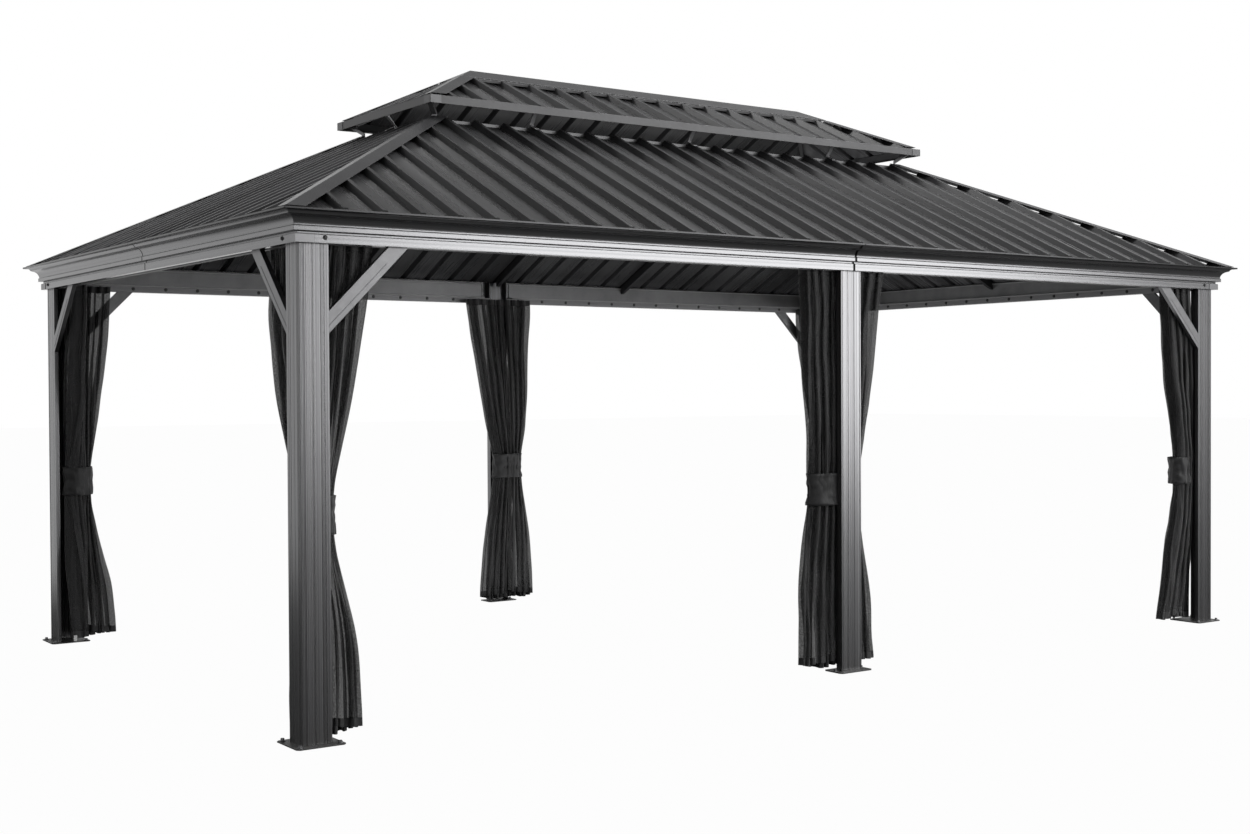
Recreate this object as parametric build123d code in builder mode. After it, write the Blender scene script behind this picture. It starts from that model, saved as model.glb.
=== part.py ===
from build123d import *
from math import cos, radians, sin, tan
import os

# A rectangular garden gazebo with a two-tier hipped roof of ribbed steel sheet.
# Six fluted aluminium posts on foot plates carry a cornice-shaped eave, and the
# upper roof stands on struts over a vent opening.
# Millimetres. X runs along the long side, the front is at -Y, Z is up, and the
# origin is on the ground under the middle of the roof.

# Plan over the outer faces of the posts
LENGTH = 5800
WIDTH = 3420

# Foot plates
PLATE_SIDE = 210
PLATE_THICK = 5
PLATE_MARGIN = 40
PLATE_CORNER = 12
MIDDLE_PLATE_DEPTH = 130
BOLT_INSET = 20
BOLT_HOLE = 12

# Posts: open fluted extrusions
POST_WING = 125
POST_WALL = 3
POST_LIP = 22
MIDDLE_POST_FACE = 130
MIDDLE_POST_DEPTH = 40
FLUTE_WIDTH = 3
FLUTE_DEPTH = 1.2
WING_FLUTES = (26, 55, 88, 103)
MIDDLE_FLUTES = (19.5, 56)
CORNER_REEDS = 3
REED_PITCH = 6
CORNER_EASE = 2
POST_TOP_GAP = 2

# Eave beams: hollow extrusions bolted to the outside of the posts
BEAM_BOTTOM = 1966
BEAM_DEPTH = 25
BEAM_WALL = 2.5
BAND_HEIGHT = 33
SHADOW_HEIGHT = 12
SHADOW_DEPTH = 8
SHADOW_BEVEL = 2
SEAM = 5

# Crown moulding in front of the beams, a bent skin that ends in the drip edge
CROWN_SKIN = 2.5
CROWN_BAND_HEIGHT = 18
CROWN_BAND_REACH = 39
CROWN_BEVEL = 3
COVE_START = 35
COVE_REACH = 66
COVE_RISE = 38
BEAD_REACH = 6
BEAD_RISE = 2
BEAD_TANGENT = (0.4, 1)
CROWN_REACH = 105
CROWN_TOP = 2093
DRIP_HEIGHT = 8

# Corner caps over the beam bands
CAP_WING = 80
CAP_SKIN = 2

# Knee braces at the corner posts
BRACE_WIDTH = 62
BRACE_THICK = 22
BRACE_RUN = 262
BRACE_WALL = 2.5
BRACE_TUCK = 24

# Curtain rails inside the beams
RAIL_WIDTH = 22
RAIL_HEIGHT = 29
RAIL_WALL = 2
RAIL_SLOT = 8
RAIL_OFFSET = 24
RAIL_SEAT = 3
RAIL_POST_GAP = 2

# Ribbed roof sheets
SHEET = 2
RIB_PITCH = 171
RIB_BASE = 44
RIB_TOP = 20
RIB_HEIGHT = 28
HIP_GAP = 4
HIP_CAP_WIDTH = 80
HIP_CAP_SETBACK = 8
FOLD_LAP = 10

# Lower roof
LOWER_PITCH = 25.6
EAVE_OVERHANG = 65
EAVE_Z = 2076
VENT_HALF_WIDTH = 412
HIP_CAP_OVERHANG = 25

# Rafters under the lower roof
RAFTER_WIDTH = 25
RAFTER_DEPTH = 45
RAFTER_SPACING = 1030

# Curb round the vent opening and the struts that stand on it
CURB_WIDTH = 25
CURB_DROP = 20
CURB_PROUD = 18
CURB_JOINT = 0.5
STRUT_WIDTH = 25
STRUT_THICK = 12
STRUT_LEAN = 60
STRUT_TAB = 55
STRUT_SKIN = 3
GUSSET_REACH = 50

# Upper roof, placed by how far it reaches past the curb and stands above it
UPPER_REACH_FRONT = 113
UPPER_REACH_SIDE = 78
UPPER_LIFT = 96.5
UPPER_PITCH = 25.6
UPPER_EAVE_DROP = 22
FASCIA_HEIGHT = 40
FASCIA_THICK = 3
FASCIA_FLANGE = 60
FASCIA_JOINT = 0.5
SHEET_INSET = 18
RIDGE_OPENING = 40
RIDGE_CAP_REACH = 125
PURLIN_SIZE = 22

# Curtains, gathered at each post
CURTAIN_CLEAR = 0.3
CURTAIN_HEM = 25
TIE_BOTTOM = 820
TIE_HEIGHT = 155
TIE_PROUD = 6
BUNCH_GAP = 4
CURTAIN_NECK = 1130
CURTAIN_FLARE = 400
# Reach of a bunch to its left and right, and its half-depth: at the rail, the neck, above and
# below the band, at the flare and at the hem
CORNER_BUNCH = ((146, 146, 62), (88, 88, 58), (64, 64, 50), (64, 64, 50), (93, 93, 62), (108, 108, 64))
FRONT_BUNCH = ((245, 250, 50), (202, 166, 50), (200, 120, 48), (200, 120, 48), (258, 175, 52), (270, 205, 54))
BACK_BUNCH = ((258, 185, 50), (150, 158, 52), (70, 129, 48), (70, 129, 48), (132, 180, 54), (168, 206, 56))

HALF_LENGTH = LENGTH / 2
HALF_WIDTH = WIDTH / 2
LOWER_SLOPE = tan(radians(LOWER_PITCH))
UPPER_SLOPE = tan(radians(UPPER_PITCH))
EAVE_HALF_LENGTH = HALF_LENGTH + EAVE_OVERHANG
EAVE_HALF_WIDTH = HALF_WIDTH + EAVE_OVERHANG
LOWER_RUN = EAVE_HALF_WIDTH - VENT_HALF_WIDTH
VENT_HALF_LENGTH = EAVE_HALF_LENGTH - LOWER_RUN
VENT_Z = EAVE_Z + LOWER_RUN * LOWER_SLOPE
CURB_TOP = VENT_Z + CURB_PROUD
UPPER_TOP = CURB_TOP + UPPER_LIFT
UPPER_LENGTH = 2 * (VENT_HALF_LENGTH + UPPER_REACH_SIDE)
UPPER_WIDTH = 2 * (VENT_HALF_WIDTH + UPPER_REACH_FRONT)
UPPER_HALF_LENGTH = UPPER_LENGTH / 2 - SHEET_INSET
UPPER_HALF_WIDTH = UPPER_WIDTH / 2 - SHEET_INSET
UPPER_EAVE_Z = UPPER_TOP - UPPER_EAVE_DROP
RIDGE_HALF_LENGTH = UPPER_HALF_LENGTH - UPPER_HALF_WIDTH
RIDGE_Z = UPPER_EAVE_Z + UPPER_HALF_WIDTH * UPPER_SLOPE
SHADOW_TOP = BEAM_BOTTOM + BAND_HEIGHT + SHADOW_HEIGHT
RAIL_UNDERSIDE = BEAM_BOTTOM - CURTAIN_CLEAR

os.makedirs("parts", exist_ok=True)


def save(part, name):
    """Label a finished piece and write its file."""
    part.label = name
    export_step(part, f"parts/{name}.step")


def four_corners(part):
    """A piece at one corner and its mirror images at the other three."""
    pair = [part, mirror(part, about=Plane.YZ)]
    return Compound(children=pair + [mirror(piece, about=Plane.XZ) for piece in pair])


def flute_steps(places):
    """Points of the grooves in a post's face, as distance along it and depth."""
    points = []
    for place in places:
        points += [(place - FLUTE_WIDTH / 2, 0), (place - FLUTE_WIDTH / 2, FLUTE_DEPTH)]
        points += [(place + FLUTE_WIDTH / 2, FLUTE_DEPTH), (place + FLUTE_WIDTH / 2, 0)]
    return points


# Foot plates: four bolt holes under a corner post, and one on each side of a middle post
def foot_plate(x, y, depth, rows):
    """A plate with cut corners centred at x, y, with two bolt holes in each row."""
    with BuildPart() as plate:
        with BuildSketch(Plane(origin=(x, y, 0))) as outline:
            Rectangle(PLATE_SIDE, depth)
            chamfer(outline.vertices(), PLATE_CORNER)
            with GridLocations(PLATE_SIDE - 2 * BOLT_INSET, PLATE_SIDE - 2 * BOLT_INSET, 2, rows):
                Circle(BOLT_HOLE / 2, mode=Mode.SUBTRACT)
        extrude(amount=PLATE_THICK)
    return plate.part


plate_x = HALF_LENGTH + PLATE_MARGIN - PLATE_SIDE / 2
plate_y = HALF_WIDTH + PLATE_MARGIN - PLATE_SIDE / 2
middle_plate_y = HALF_WIDTH + PLATE_MARGIN - MIDDLE_PLATE_DEPTH / 2
plates = [foot_plate(x, y, PLATE_SIDE, 2) for x in (-plate_x, plate_x) for y in (-plate_y, plate_y)]
plates += [foot_plate(0, y, MIDDLE_PLATE_DEPTH, 1) for y in (-middle_plate_y, middle_plate_y)]
save(Compound(children=plates), "foot_plates")

# Corner posts: an L of two fluted wings with an eased, reeded corner and returned edges
beam_inner_top = EAVE_Z + EAVE_OVERHANG * LOWER_SLOPE
post_top = beam_inner_top - POST_TOP_GAP
reeds = [REED_PITCH * (count + 1) for count in range(CORNER_REEDS)]
wing = flute_steps(reeds + list(WING_FLUTES))
wing_edge = [(POST_WING, 0), (POST_WING, POST_LIP), (POST_WING - POST_WALL, POST_LIP)]
wing_edge += [(POST_WING - POST_WALL, POST_WALL), (POST_WALL, POST_WALL)]
half_angle = [(CORNER_EASE, 0)] + wing + wing_edge
post_outline = half_angle + [(y, x) for x, y in reversed(half_angle[:-1])]

with BuildPart() as corner_post:
    with BuildSketch(Plane.XY.offset(PLATE_THICK)):
        with BuildLine():
            Polyline([(HALF_LENGTH - x, HALF_WIDTH - y) for x, y in post_outline], close=True)
        make_face()
    extrude(amount=post_top - PLATE_THICK)

back_right = corner_post.part
back_left = mirror(back_right, about=Plane.YZ)
save(back_right, "post_back_right")
save(back_left, "post_back_left")
save(mirror(back_right, about=Plane.XZ), "post_front_right")
save(mirror(back_left, about=Plane.XZ), "post_front_left")

# Middle posts: a fluted channel under the seam of each long beam
half_face = MIDDLE_POST_FACE / 2
face_edge = [(half_face, 0), (half_face, MIDDLE_POST_DEPTH)]
face_edge += [(half_face - POST_WALL, MIDDLE_POST_DEPTH), (half_face - POST_WALL, POST_WALL)]
half_outline = flute_steps(MIDDLE_FLUTES) + face_edge
channel_outline = half_outline + [(-x, y) for x, y in reversed(half_outline)]

with BuildPart() as middle_post:
    with BuildSketch(Plane.XY.offset(PLATE_THICK)):
        with BuildLine():
            Polyline([(x, HALF_WIDTH - y) for x, y in channel_outline], close=True)
        make_face()
    extrude(amount=post_top - PLATE_THICK)

save(middle_post.part, "post_back_middle")
save(mirror(middle_post.part, about=Plane.XZ), "post_front_middle")

# Eave section: distance out from the post faces, and height
beam_outer_top = EAVE_Z + (EAVE_OVERHANG - BEAM_DEPTH) * LOWER_SLOPE
band_top = BEAM_BOTTOM + BAND_HEIGHT
with BuildSketch() as beam_section:
    with BuildLine():
        Polyline(
            (0, BEAM_BOTTOM),
            (BEAM_DEPTH, BEAM_BOTTOM),
            (BEAM_DEPTH, band_top),
            (BEAM_DEPTH - SHADOW_DEPTH, band_top + SHADOW_BEVEL),
            (BEAM_DEPTH - SHADOW_DEPTH, SHADOW_TOP - SHADOW_BEVEL),
            (BEAM_DEPTH, SHADOW_TOP),
            (BEAM_DEPTH, beam_outer_top),
            (0, beam_inner_top),
            close=True,
        )
    make_face()
    with BuildLine():
        Polyline(
            (BEAM_WALL, BEAM_BOTTOM + BEAM_WALL),
            (BEAM_DEPTH - SHADOW_DEPTH - BEAM_WALL, BEAM_BOTTOM + BEAM_WALL),
            (BEAM_DEPTH - SHADOW_DEPTH - BEAM_WALL, beam_outer_top - BEAM_WALL),
            (BEAM_WALL, beam_outer_top - BEAM_WALL),
            close=True,
        )
    make_face(mode=Mode.SUBTRACT)

# Crown section: a flat band, a cove and a second small cove up to the drip edge
crown_band_top = SHADOW_TOP + CROWN_BAND_HEIGHT
cove_bottom = crown_band_top + CROWN_BEVEL
cove_end = (COVE_REACH, cove_bottom + COVE_RISE)
bead_end = (COVE_REACH + BEAD_REACH, cove_bottom + COVE_RISE + BEAD_RISE)
with BuildSketch() as crown_section:
    with BuildLine() as crown_line:
        Polyline(
            (BEAM_DEPTH, SHADOW_TOP),
            (CROWN_BAND_REACH, SHADOW_TOP),
            (CROWN_BAND_REACH, crown_band_top),
            (COVE_START, cove_bottom),
        )
        TangentArc((COVE_START, cove_bottom), cove_end, tangent=(0, 1))
        Line(cove_end, bead_end)
        TangentArc(bead_end, (CROWN_REACH, CROWN_TOP - DRIP_HEIGHT), tangent=BEAD_TANGENT)
        Line((CROWN_REACH, CROWN_TOP - DRIP_HEIGHT), (CROWN_REACH, CROWN_TOP))
        offset(amount=CROWN_SKIN, side=Side.LEFT)
    make_face()


def side_run(section, setback, half_span):
    """Two lengths of an eave section facing -Y, mitred at the corners and parted by the seam."""
    seam_plane = Plane(origin=(-SEAM / 2, -setback, 0), x_dir=(0, -1, 0), z_dir=(-1, 0, 0))
    mitre = Plane(origin=(-half_span, -setback, 0), z_dir=(-1, 1, 0))
    with BuildPart() as run:
        with BuildSketch(seam_plane):
            add(section.sketch)
        extrude(amount=half_span + CROWN_REACH)
        split(bisect_by=mitre, keep=Keep.BOTTOM)
        mirror(about=Plane.YZ)
    return run.part


for section, piece in ((beam_section, "beam"), (crown_section, "crown")):
    long_run = side_run(section, HALF_WIDTH, HALF_LENGTH)
    short_run = side_run(section, HALF_LENGTH, HALF_WIDTH)
    save(long_run, f"front_{piece}")
    save(mirror(long_run, about=Plane.XZ), f"back_{piece}")
    save(short_run.rotate(Axis.Z, -90), f"left_{piece}")
    save(short_run.rotate(Axis.Z, 90), f"right_{piece}")

# Corner caps: thin angles that hide the mitres of the beam bands
cap_x = HALF_LENGTH + BEAM_DEPTH
cap_y = HALF_WIDTH + BEAM_DEPTH
with BuildPart() as corner_cap:
    with BuildSketch(Plane.XY.offset(BEAM_BOTTOM)):
        with BuildLine():
            Polyline(
                (cap_x - CAP_WING, cap_y),
                (cap_x, cap_y),
                (cap_x, cap_y - CAP_WING),
                (cap_x + CAP_SKIN, cap_y - CAP_WING),
                (cap_x + CAP_SKIN, cap_y + CAP_SKIN),
                (cap_x - CAP_WING, cap_y + CAP_SKIN),
                close=True,
            )
        make_face()
    extrude(amount=BAND_HEIGHT)
save(four_corners(corner_cap.part), "corner_caps")

# Knee braces: hollow bars at 45 degrees from each corner post up to both beams
brace_end = BRACE_WIDTH / cos(radians(45))
brace_top = BEAM_BOTTOM + BRACE_TUCK
brace_low = BEAM_BOTTOM - BRACE_RUN - brace_end


def knee_brace(corner_x, face_y):
    """A brace behind the face at +face_y, rising away from the post at +corner_x."""
    inner_edge = corner_x - POST_WING
    rise = brace_top - brace_low
    wall_rise = BRACE_WALL / cos(radians(45))
    with BuildPart() as brace:
        with BuildSketch(Plane(origin=(0, face_y, 0), x_dir=(1, 0, 0), z_dir=(0, -1, 0))):
            with BuildLine():
                Polyline(
                    (inner_edge, brace_low),
                    (inner_edge, brace_low + brace_end),
                    (inner_edge - rise + brace_end, brace_top),
                    (inner_edge - rise, brace_top),
                    close=True,
                )
            make_face()
        extrude(amount=BRACE_THICK)
        with BuildSketch(Plane(origin=(0, face_y - BRACE_WALL, 0), x_dir=(1, 0, 0), z_dir=(0, -1, 0))):
            with BuildLine():
                Polyline(
                    (inner_edge, brace_low + wall_rise),
                    (inner_edge, brace_low + brace_end - wall_rise),
                    (inner_edge - rise + brace_end - wall_rise, brace_top),
                    (inner_edge - rise + wall_rise, brace_top),
                    close=True,
                )
            make_face()
        extrude(amount=BRACE_THICK - 2 * BRACE_WALL, mode=Mode.SUBTRACT)
    return brace.part


long_brace = knee_brace(HALF_LENGTH, HALF_WIDTH)
short_brace = mirror(knee_brace(HALF_WIDTH, HALF_LENGTH), about=Plane.YZ).rotate(Axis.Z, -90)
back_braces = [long_brace, short_brace]
back_braces += [mirror(brace, about=Plane.YZ) for brace in back_braces]
front_braces = [mirror(brace, about=Plane.XZ) for brace in back_braces]
save(Compound(children=back_braces + front_braces), "knee_braces")

# Curtain rails: slotted channels that hang from a flange on the beams' inner faces
rail_bottom = BEAM_BOTTOM
rail_top = BEAM_BOTTOM + RAIL_HEIGHT
rail_in = RAIL_OFFSET + RAIL_WIDTH
slot_edge = (RAIL_WIDTH - RAIL_SLOT) / 2
with BuildSketch() as rail_section:
    with BuildLine():
        Polyline(
            (0, rail_top),
            (0, rail_top + RAIL_SEAT),
            (-rail_in, rail_top + RAIL_SEAT),
            (-rail_in, rail_bottom),
            (-rail_in + slot_edge, rail_bottom),
            (-rail_in + slot_edge, rail_bottom + RAIL_WALL),
            (-rail_in + RAIL_WALL, rail_bottom + RAIL_WALL),
            (-rail_in + RAIL_WALL, rail_top),
            (-RAIL_OFFSET - RAIL_WALL, rail_top),
            (-RAIL_OFFSET - RAIL_WALL, rail_bottom + RAIL_WALL),
            (-RAIL_OFFSET - slot_edge, rail_bottom + RAIL_WALL),
            (-RAIL_OFFSET - slot_edge, rail_bottom),
            (-RAIL_OFFSET, rail_bottom),
            (-RAIL_OFFSET, rail_top),
            close=True,
        )
    make_face()


def rail_run(setback, start, end):
    """A rail on the side facing -Y, from start to end along X."""
    plane = Plane(origin=(start, -setback, 0), x_dir=(0, -1, 0), z_dir=(-1, 0, 0))
    with BuildPart() as rail:
        with BuildSketch(plane):
            add(rail_section.sketch)
        extrude(amount=start - end)
    return rail.part


rail_start = half_face + RAIL_POST_GAP
rail_end = POST_WING + RAIL_POST_GAP
long_rails = [rail_run(HALF_WIDTH, rail_start, HALF_LENGTH - rail_end)]
long_rails.append(mirror(long_rails[0], about=Plane.YZ))
long_rails += [mirror(rail, about=Plane.XZ) for rail in long_rails]
save(Compound(children=long_rails), "long_curtain_rails")
short_rail = rail_run(HALF_LENGTH, rail_end - HALF_WIDTH, HALF_WIDTH - rail_end)
short_rails = [short_rail.rotate(Axis.Z, -90), short_rail.rotate(Axis.Z, 90)]
save(Compound(children=short_rails), "short_curtain_rails")

# Roof sheets: the section across the ribs is extruded up the slope, then the hips are cut
rib_side = (RIB_BASE - RIB_TOP) / 2
rib_shift = SHEET * (((RIB_HEIGHT ** 2 + rib_side ** 2) ** 0.5 - rib_side) / RIB_HEIGHT)


def rib_places(half_span):
    """Rib centres along an eave, counted from its middle."""
    count = int((half_span - RIB_BASE) // RIB_PITCH)
    return [RIB_PITCH * step for step in range(-count, count + 1)]


def sheet_outline(half_span):
    """Outline across a ribbed sheet, its pans lying on zero."""
    outer = [(-half_span, SHEET)]
    inner = [(half_span, 0)]
    for place in rib_places(half_span):
        outer += [(place - RIB_BASE / 2, SHEET), (place - RIB_TOP / 2, SHEET + RIB_HEIGHT)]
        outer += [(place + RIB_TOP / 2, SHEET + RIB_HEIGHT), (place + RIB_BASE / 2, SHEET)]
    for place in reversed(rib_places(half_span)):
        foot = RIB_BASE / 2 - rib_shift
        head = RIB_TOP / 2 - rib_shift
        inner += [(place + foot, 0), (place + head, RIB_HEIGHT)]
        inner += [(place - head, RIB_HEIGHT), (place - foot, 0)]
    return outer + [(half_span, SHEET)] + inner + [(-half_span, 0)]


def hip_slope(half_span, setback, eave_z, run, pitch):
    """A ribbed slope facing -Y between two hips, its eave at setback from the middle."""
    angle = radians(pitch)
    across = Plane(origin=(0, -setback, eave_z), x_dir=(1, 0, 0), z_dir=(0, -cos(angle), -sin(angle)))
    hip_x = half_span - HIP_GAP
    with BuildPart() as slope:
        with BuildSketch(across):
            with BuildLine():
                Polyline(sheet_outline(half_span), close=True)
            make_face()
        extrude(amount=-run / cos(angle))
        split(bisect_by=Plane(origin=(hip_x, -setback, 0), z_dir=(1, 1, 0)), keep=Keep.BOTTOM)
        split(bisect_by=Plane(origin=(-hip_x, -setback, 0), z_dir=(-1, 1, 0)), keep=Keep.BOTTOM)
    return slope.part


def save_tier(name, half_length, half_width, eave_z, run, pitch):
    """The four slopes of one hipped tier."""
    long_slope = hip_slope(half_length, half_width, eave_z, run, pitch)
    short_slope = hip_slope(half_width, half_length, eave_z, run, pitch)
    save(long_slope, f"{name}_front")
    save(mirror(long_slope, about=Plane.XZ), f"{name}_back")
    save(short_slope.rotate(Axis.Z, -90), f"{name}_left")
    save(short_slope.rotate(Axis.Z, 90), f"{name}_right")


save_tier("lower_roof", EAVE_HALF_LENGTH, EAVE_HALF_WIDTH, EAVE_Z, LOWER_RUN, LOWER_PITCH)
upper_run = UPPER_HALF_WIDTH - RIDGE_OPENING
save_tier("upper_roof", UPPER_HALF_LENGTH, UPPER_HALF_WIDTH, UPPER_EAVE_Z, upper_run, UPPER_PITCH)


def hip_cap(half_length, half_width, eave_z, pitch, start, end):
    """The folded cap on the front right hip, from start to end in plan from the eave corner."""
    angle = radians(pitch)
    lift = SHEET + RIB_HEIGHT
    slope_plane = Plane(
        origin=(half_length, -half_width, eave_z), x_dir=(1, 0, 0), z_dir=(0, -sin(angle), cos(angle))
    ).offset(lift)
    crest = [(-run, run / cos(angle) + lift * tan(angle)) for run in (start, end)]
    hip_plane = Plane(origin=(half_length, -half_width, 0), z_dir=(1, 1, 0))
    with BuildPart() as cap:
        with BuildSketch(slope_plane):
            with BuildLine():
                Polyline(
                    (crest[0][0] - HIP_CAP_WIDTH, crest[0][1]),
                    (crest[0][0] + FOLD_LAP, crest[0][1]),
                    (crest[1][0] + FOLD_LAP, crest[1][1]),
                    (crest[1][0] - HIP_CAP_WIDTH, crest[1][1]),
                    close=True,
                )
            make_face()
        extrude(amount=SHEET)
        split(bisect_by=hip_plane, keep=Keep.BOTTOM)
        mirror(about=hip_plane)
    return cap.part


lower_cap_end = LOWER_RUN - HIP_CAP_SETBACK
lower_cap = hip_cap(
    EAVE_HALF_LENGTH, EAVE_HALF_WIDTH, EAVE_Z, LOWER_PITCH, -HIP_CAP_OVERHANG, lower_cap_end
)
save(four_corners(lower_cap), "lower_hip_caps")
upper_cap_end = UPPER_HALF_WIDTH - RIDGE_CAP_REACH - HIP_CAP_SETBACK
upper_cap = hip_cap(UPPER_HALF_LENGTH, UPPER_HALF_WIDTH, UPPER_EAVE_Z, UPPER_PITCH, 0, upper_cap_end)
save(four_corners(upper_cap), "upper_hip_caps")


def hipped_block(half_length, half_width, apex_z, floor_z, slope):
    """A solid block under a hipped surface whose ridge is at apex_z."""
    height = apex_z - floor_z
    reach = half_length - half_width
    with BuildPart() as block:
        with BuildSketch(Plane.XY.offset(floor_z)):
            Rectangle(2 * half_length, 2 * half_width)
        extrude(amount=height)
        for side in (-1, 1):
            long_face = Plane(origin=(0, 0, apex_z), z_dir=(0, side * slope, 1))
            short_face = Plane(origin=(side * reach, 0, apex_z), z_dir=(side * slope, 0, 1))
            split(bisect_by=long_face, keep=Keep.BOTTOM)
            split(bisect_by=short_face, keep=Keep.BOTTOM)
    return block.part


# Ridge cap: a hipped lid that rests on the rib tops and leaves the ridge open to the air
lid_lift = (SHEET + RIB_HEIGHT) / cos(radians(UPPER_PITCH))
lid_skin = SHEET / cos(radians(UPPER_PITCH))
lid_half_length = RIDGE_HALF_LENGTH + RIDGE_CAP_REACH
lid_inner_z = RIDGE_Z + lid_lift
lid_floor = lid_inner_z - RIDGE_CAP_REACH * UPPER_SLOPE
lid_inner = hipped_block(lid_half_length, RIDGE_CAP_REACH, lid_inner_z, lid_floor - SHEET, UPPER_SLOPE)
lid_outer = hipped_block(
    lid_half_length, RIDGE_CAP_REACH, lid_inner_z + lid_skin, lid_floor, UPPER_SLOPE
)
with BuildPart() as ridge_cap:
    add(lid_outer)
    add(lid_inner, mode=Mode.SUBTRACT)
save(ridge_cap.part, "ridge_cap")

# Curb: four bars round the vent opening, behind the top ends of the sheets
curb_bottom = VENT_Z - CURB_DROP - RAFTER_DEPTH
curb_line = CURB_WIDTH / 2
with BuildPart() as curb:
    with BuildSketch(Plane.XY.offset(curb_bottom)):
        with Locations((0, curb_line - VENT_HALF_WIDTH), (0, VENT_HALF_WIDTH - curb_line)):
            Rectangle(2 * VENT_HALF_LENGTH, CURB_WIDTH)
        with Locations((curb_line - VENT_HALF_LENGTH, 0), (VENT_HALF_LENGTH - curb_line, 0)):
            Rectangle(CURB_WIDTH, 2 * (VENT_HALF_WIDTH - CURB_WIDTH - CURB_JOINT))
    extrude(amount=CURB_TOP - curb_bottom)
save(curb.part, "vent_curb")

# Rafters: bars under the sheets from the beams up to the curb
def common_rafter(x, setback, run):
    """A rafter at x under the slope facing -Y, from the beam's inner face to the curb."""
    foot_z = EAVE_Z + EAVE_OVERHANG * LOWER_SLOPE
    depth = RAFTER_DEPTH / cos(radians(LOWER_PITCH))
    with BuildPart() as rafter:
        side = Plane(origin=(x - RAFTER_WIDTH / 2, -setback, 0), x_dir=(0, 1, 0), z_dir=(1, 0, 0))
        with BuildSketch(side):
            with BuildLine():
                Polyline(
                    (0, foot_z - depth),
                    (run, foot_z - depth + run * LOWER_SLOPE),
                    (run, foot_z + run * LOWER_SLOPE),
                    (0, foot_z),
                    close=True,
                )
            make_face()
        extrude(amount=RAFTER_WIDTH)
    return rafter.part


rafter_run = HALF_WIDTH - VENT_HALF_WIDTH
front_rafters = [common_rafter(x, HALF_WIDTH, rafter_run) for x in (-RAFTER_SPACING, RAFTER_SPACING)]
behind_post = Plane(origin=(0, -HALF_WIDTH + MIDDLE_POST_DEPTH, 0), z_dir=(0, 1, 0))
front_rafters.append(common_rafter(0, HALF_WIDTH, rafter_run).split(behind_post, keep=Keep.TOP))
side_rafter = common_rafter(0, HALF_LENGTH, HALF_LENGTH - VENT_HALF_LENGTH)
rafters = front_rafters + [mirror(rafter, about=Plane.XZ) for rafter in front_rafters]
rafters += [side_rafter.rotate(Axis.Z, -90), side_rafter.rotate(Axis.Z, 90)]
save(Compound(children=rafters), "common_rafters")

hip_length = (HALF_WIDTH - VENT_HALF_WIDTH - POST_WING) * 2 ** 0.5
hip_slope_rise = LOWER_SLOPE / 2 ** 0.5
hip_foot_z = EAVE_Z + (EAVE_OVERHANG + POST_WING) * LOWER_SLOPE - RAFTER_WIDTH / 2 * hip_slope_rise
with BuildPart() as hip_rafter:
    with BuildSketch(
        Plane(
            origin=(HALF_LENGTH - POST_WING, -HALF_WIDTH + POST_WING, 0), x_dir=(-1, 1, 0), z_dir=(1, 1, 0)
        )
    ):
        with BuildLine():
            Polyline(
                (0, hip_foot_z - RAFTER_DEPTH),
                (hip_length, hip_foot_z - RAFTER_DEPTH + hip_length * hip_slope_rise),
                (hip_length, hip_foot_z + hip_length * hip_slope_rise),
                (0, hip_foot_z),
                close=True,
            )
        make_face()
    extrude(amount=RAFTER_WIDTH / 2, both=True)
save(four_corners(hip_rafter.part), "hip_rafters")

# Fascia: angle bars round the upper eave, with the sheets resting on their flange
fascia_bottom = UPPER_TOP - FASCIA_HEIGHT


def upper_underside(inset):
    """Height of the upper sheets' underside, inset from the fascia's outer face."""
    return UPPER_EAVE_Z + (inset - SHEET_INSET) * UPPER_SLOPE


with BuildSketch() as fascia_section:
    with BuildLine():
        Polyline(
            (0, fascia_bottom),
            (0, UPPER_TOP),
            (-FASCIA_THICK, UPPER_TOP),
            (-FASCIA_THICK, upper_underside(FASCIA_THICK)),
            (-FASCIA_FLANGE, upper_underside(FASCIA_FLANGE)),
            (-FASCIA_FLANGE, upper_underside(FASCIA_FLANGE) - FASCIA_THICK),
            (-FASCIA_THICK, upper_underside(FASCIA_THICK) - FASCIA_THICK),
            (-FASCIA_THICK, fascia_bottom),
            close=True,
        )
    make_face()


def fascia_bar(setback, half_span):
    """A fascia bar on the side facing -Y, mitred at both ends."""
    plane = Plane(origin=(half_span, -setback, 0), x_dir=(0, -1, 0), z_dir=(-1, 0, 0))
    joint = half_span - FASCIA_JOINT
    with BuildPart() as bar:
        with BuildSketch(plane):
            add(fascia_section.sketch)
        extrude(amount=2 * half_span)
        split(bisect_by=Plane(origin=(joint, -setback, 0), z_dir=(1, 1, 0)), keep=Keep.BOTTOM)
        split(bisect_by=Plane(origin=(-joint, -setback, 0), z_dir=(-1, 1, 0)), keep=Keep.BOTTOM)
    return bar.part


long_fascia = fascia_bar(UPPER_WIDTH / 2, UPPER_LENGTH / 2)
short_fascia = fascia_bar(UPPER_LENGTH / 2, UPPER_WIDTH / 2)
fascias = [long_fascia, mirror(long_fascia, about=Plane.XZ)]
fascias += [short_fascia.rotate(Axis.Z, -90), short_fascia.rotate(Axis.Z, 90)]
save(Compound(children=fascias), "upper_fascia")

# Struts: bent straps that lean out from the curb to the fascia flange
tab_drop = STRUT_TAB * LOWER_SLOPE
rib_level = VENT_Z + (SHEET + RIB_HEIGHT) / cos(radians(LOWER_PITCH))


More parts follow.
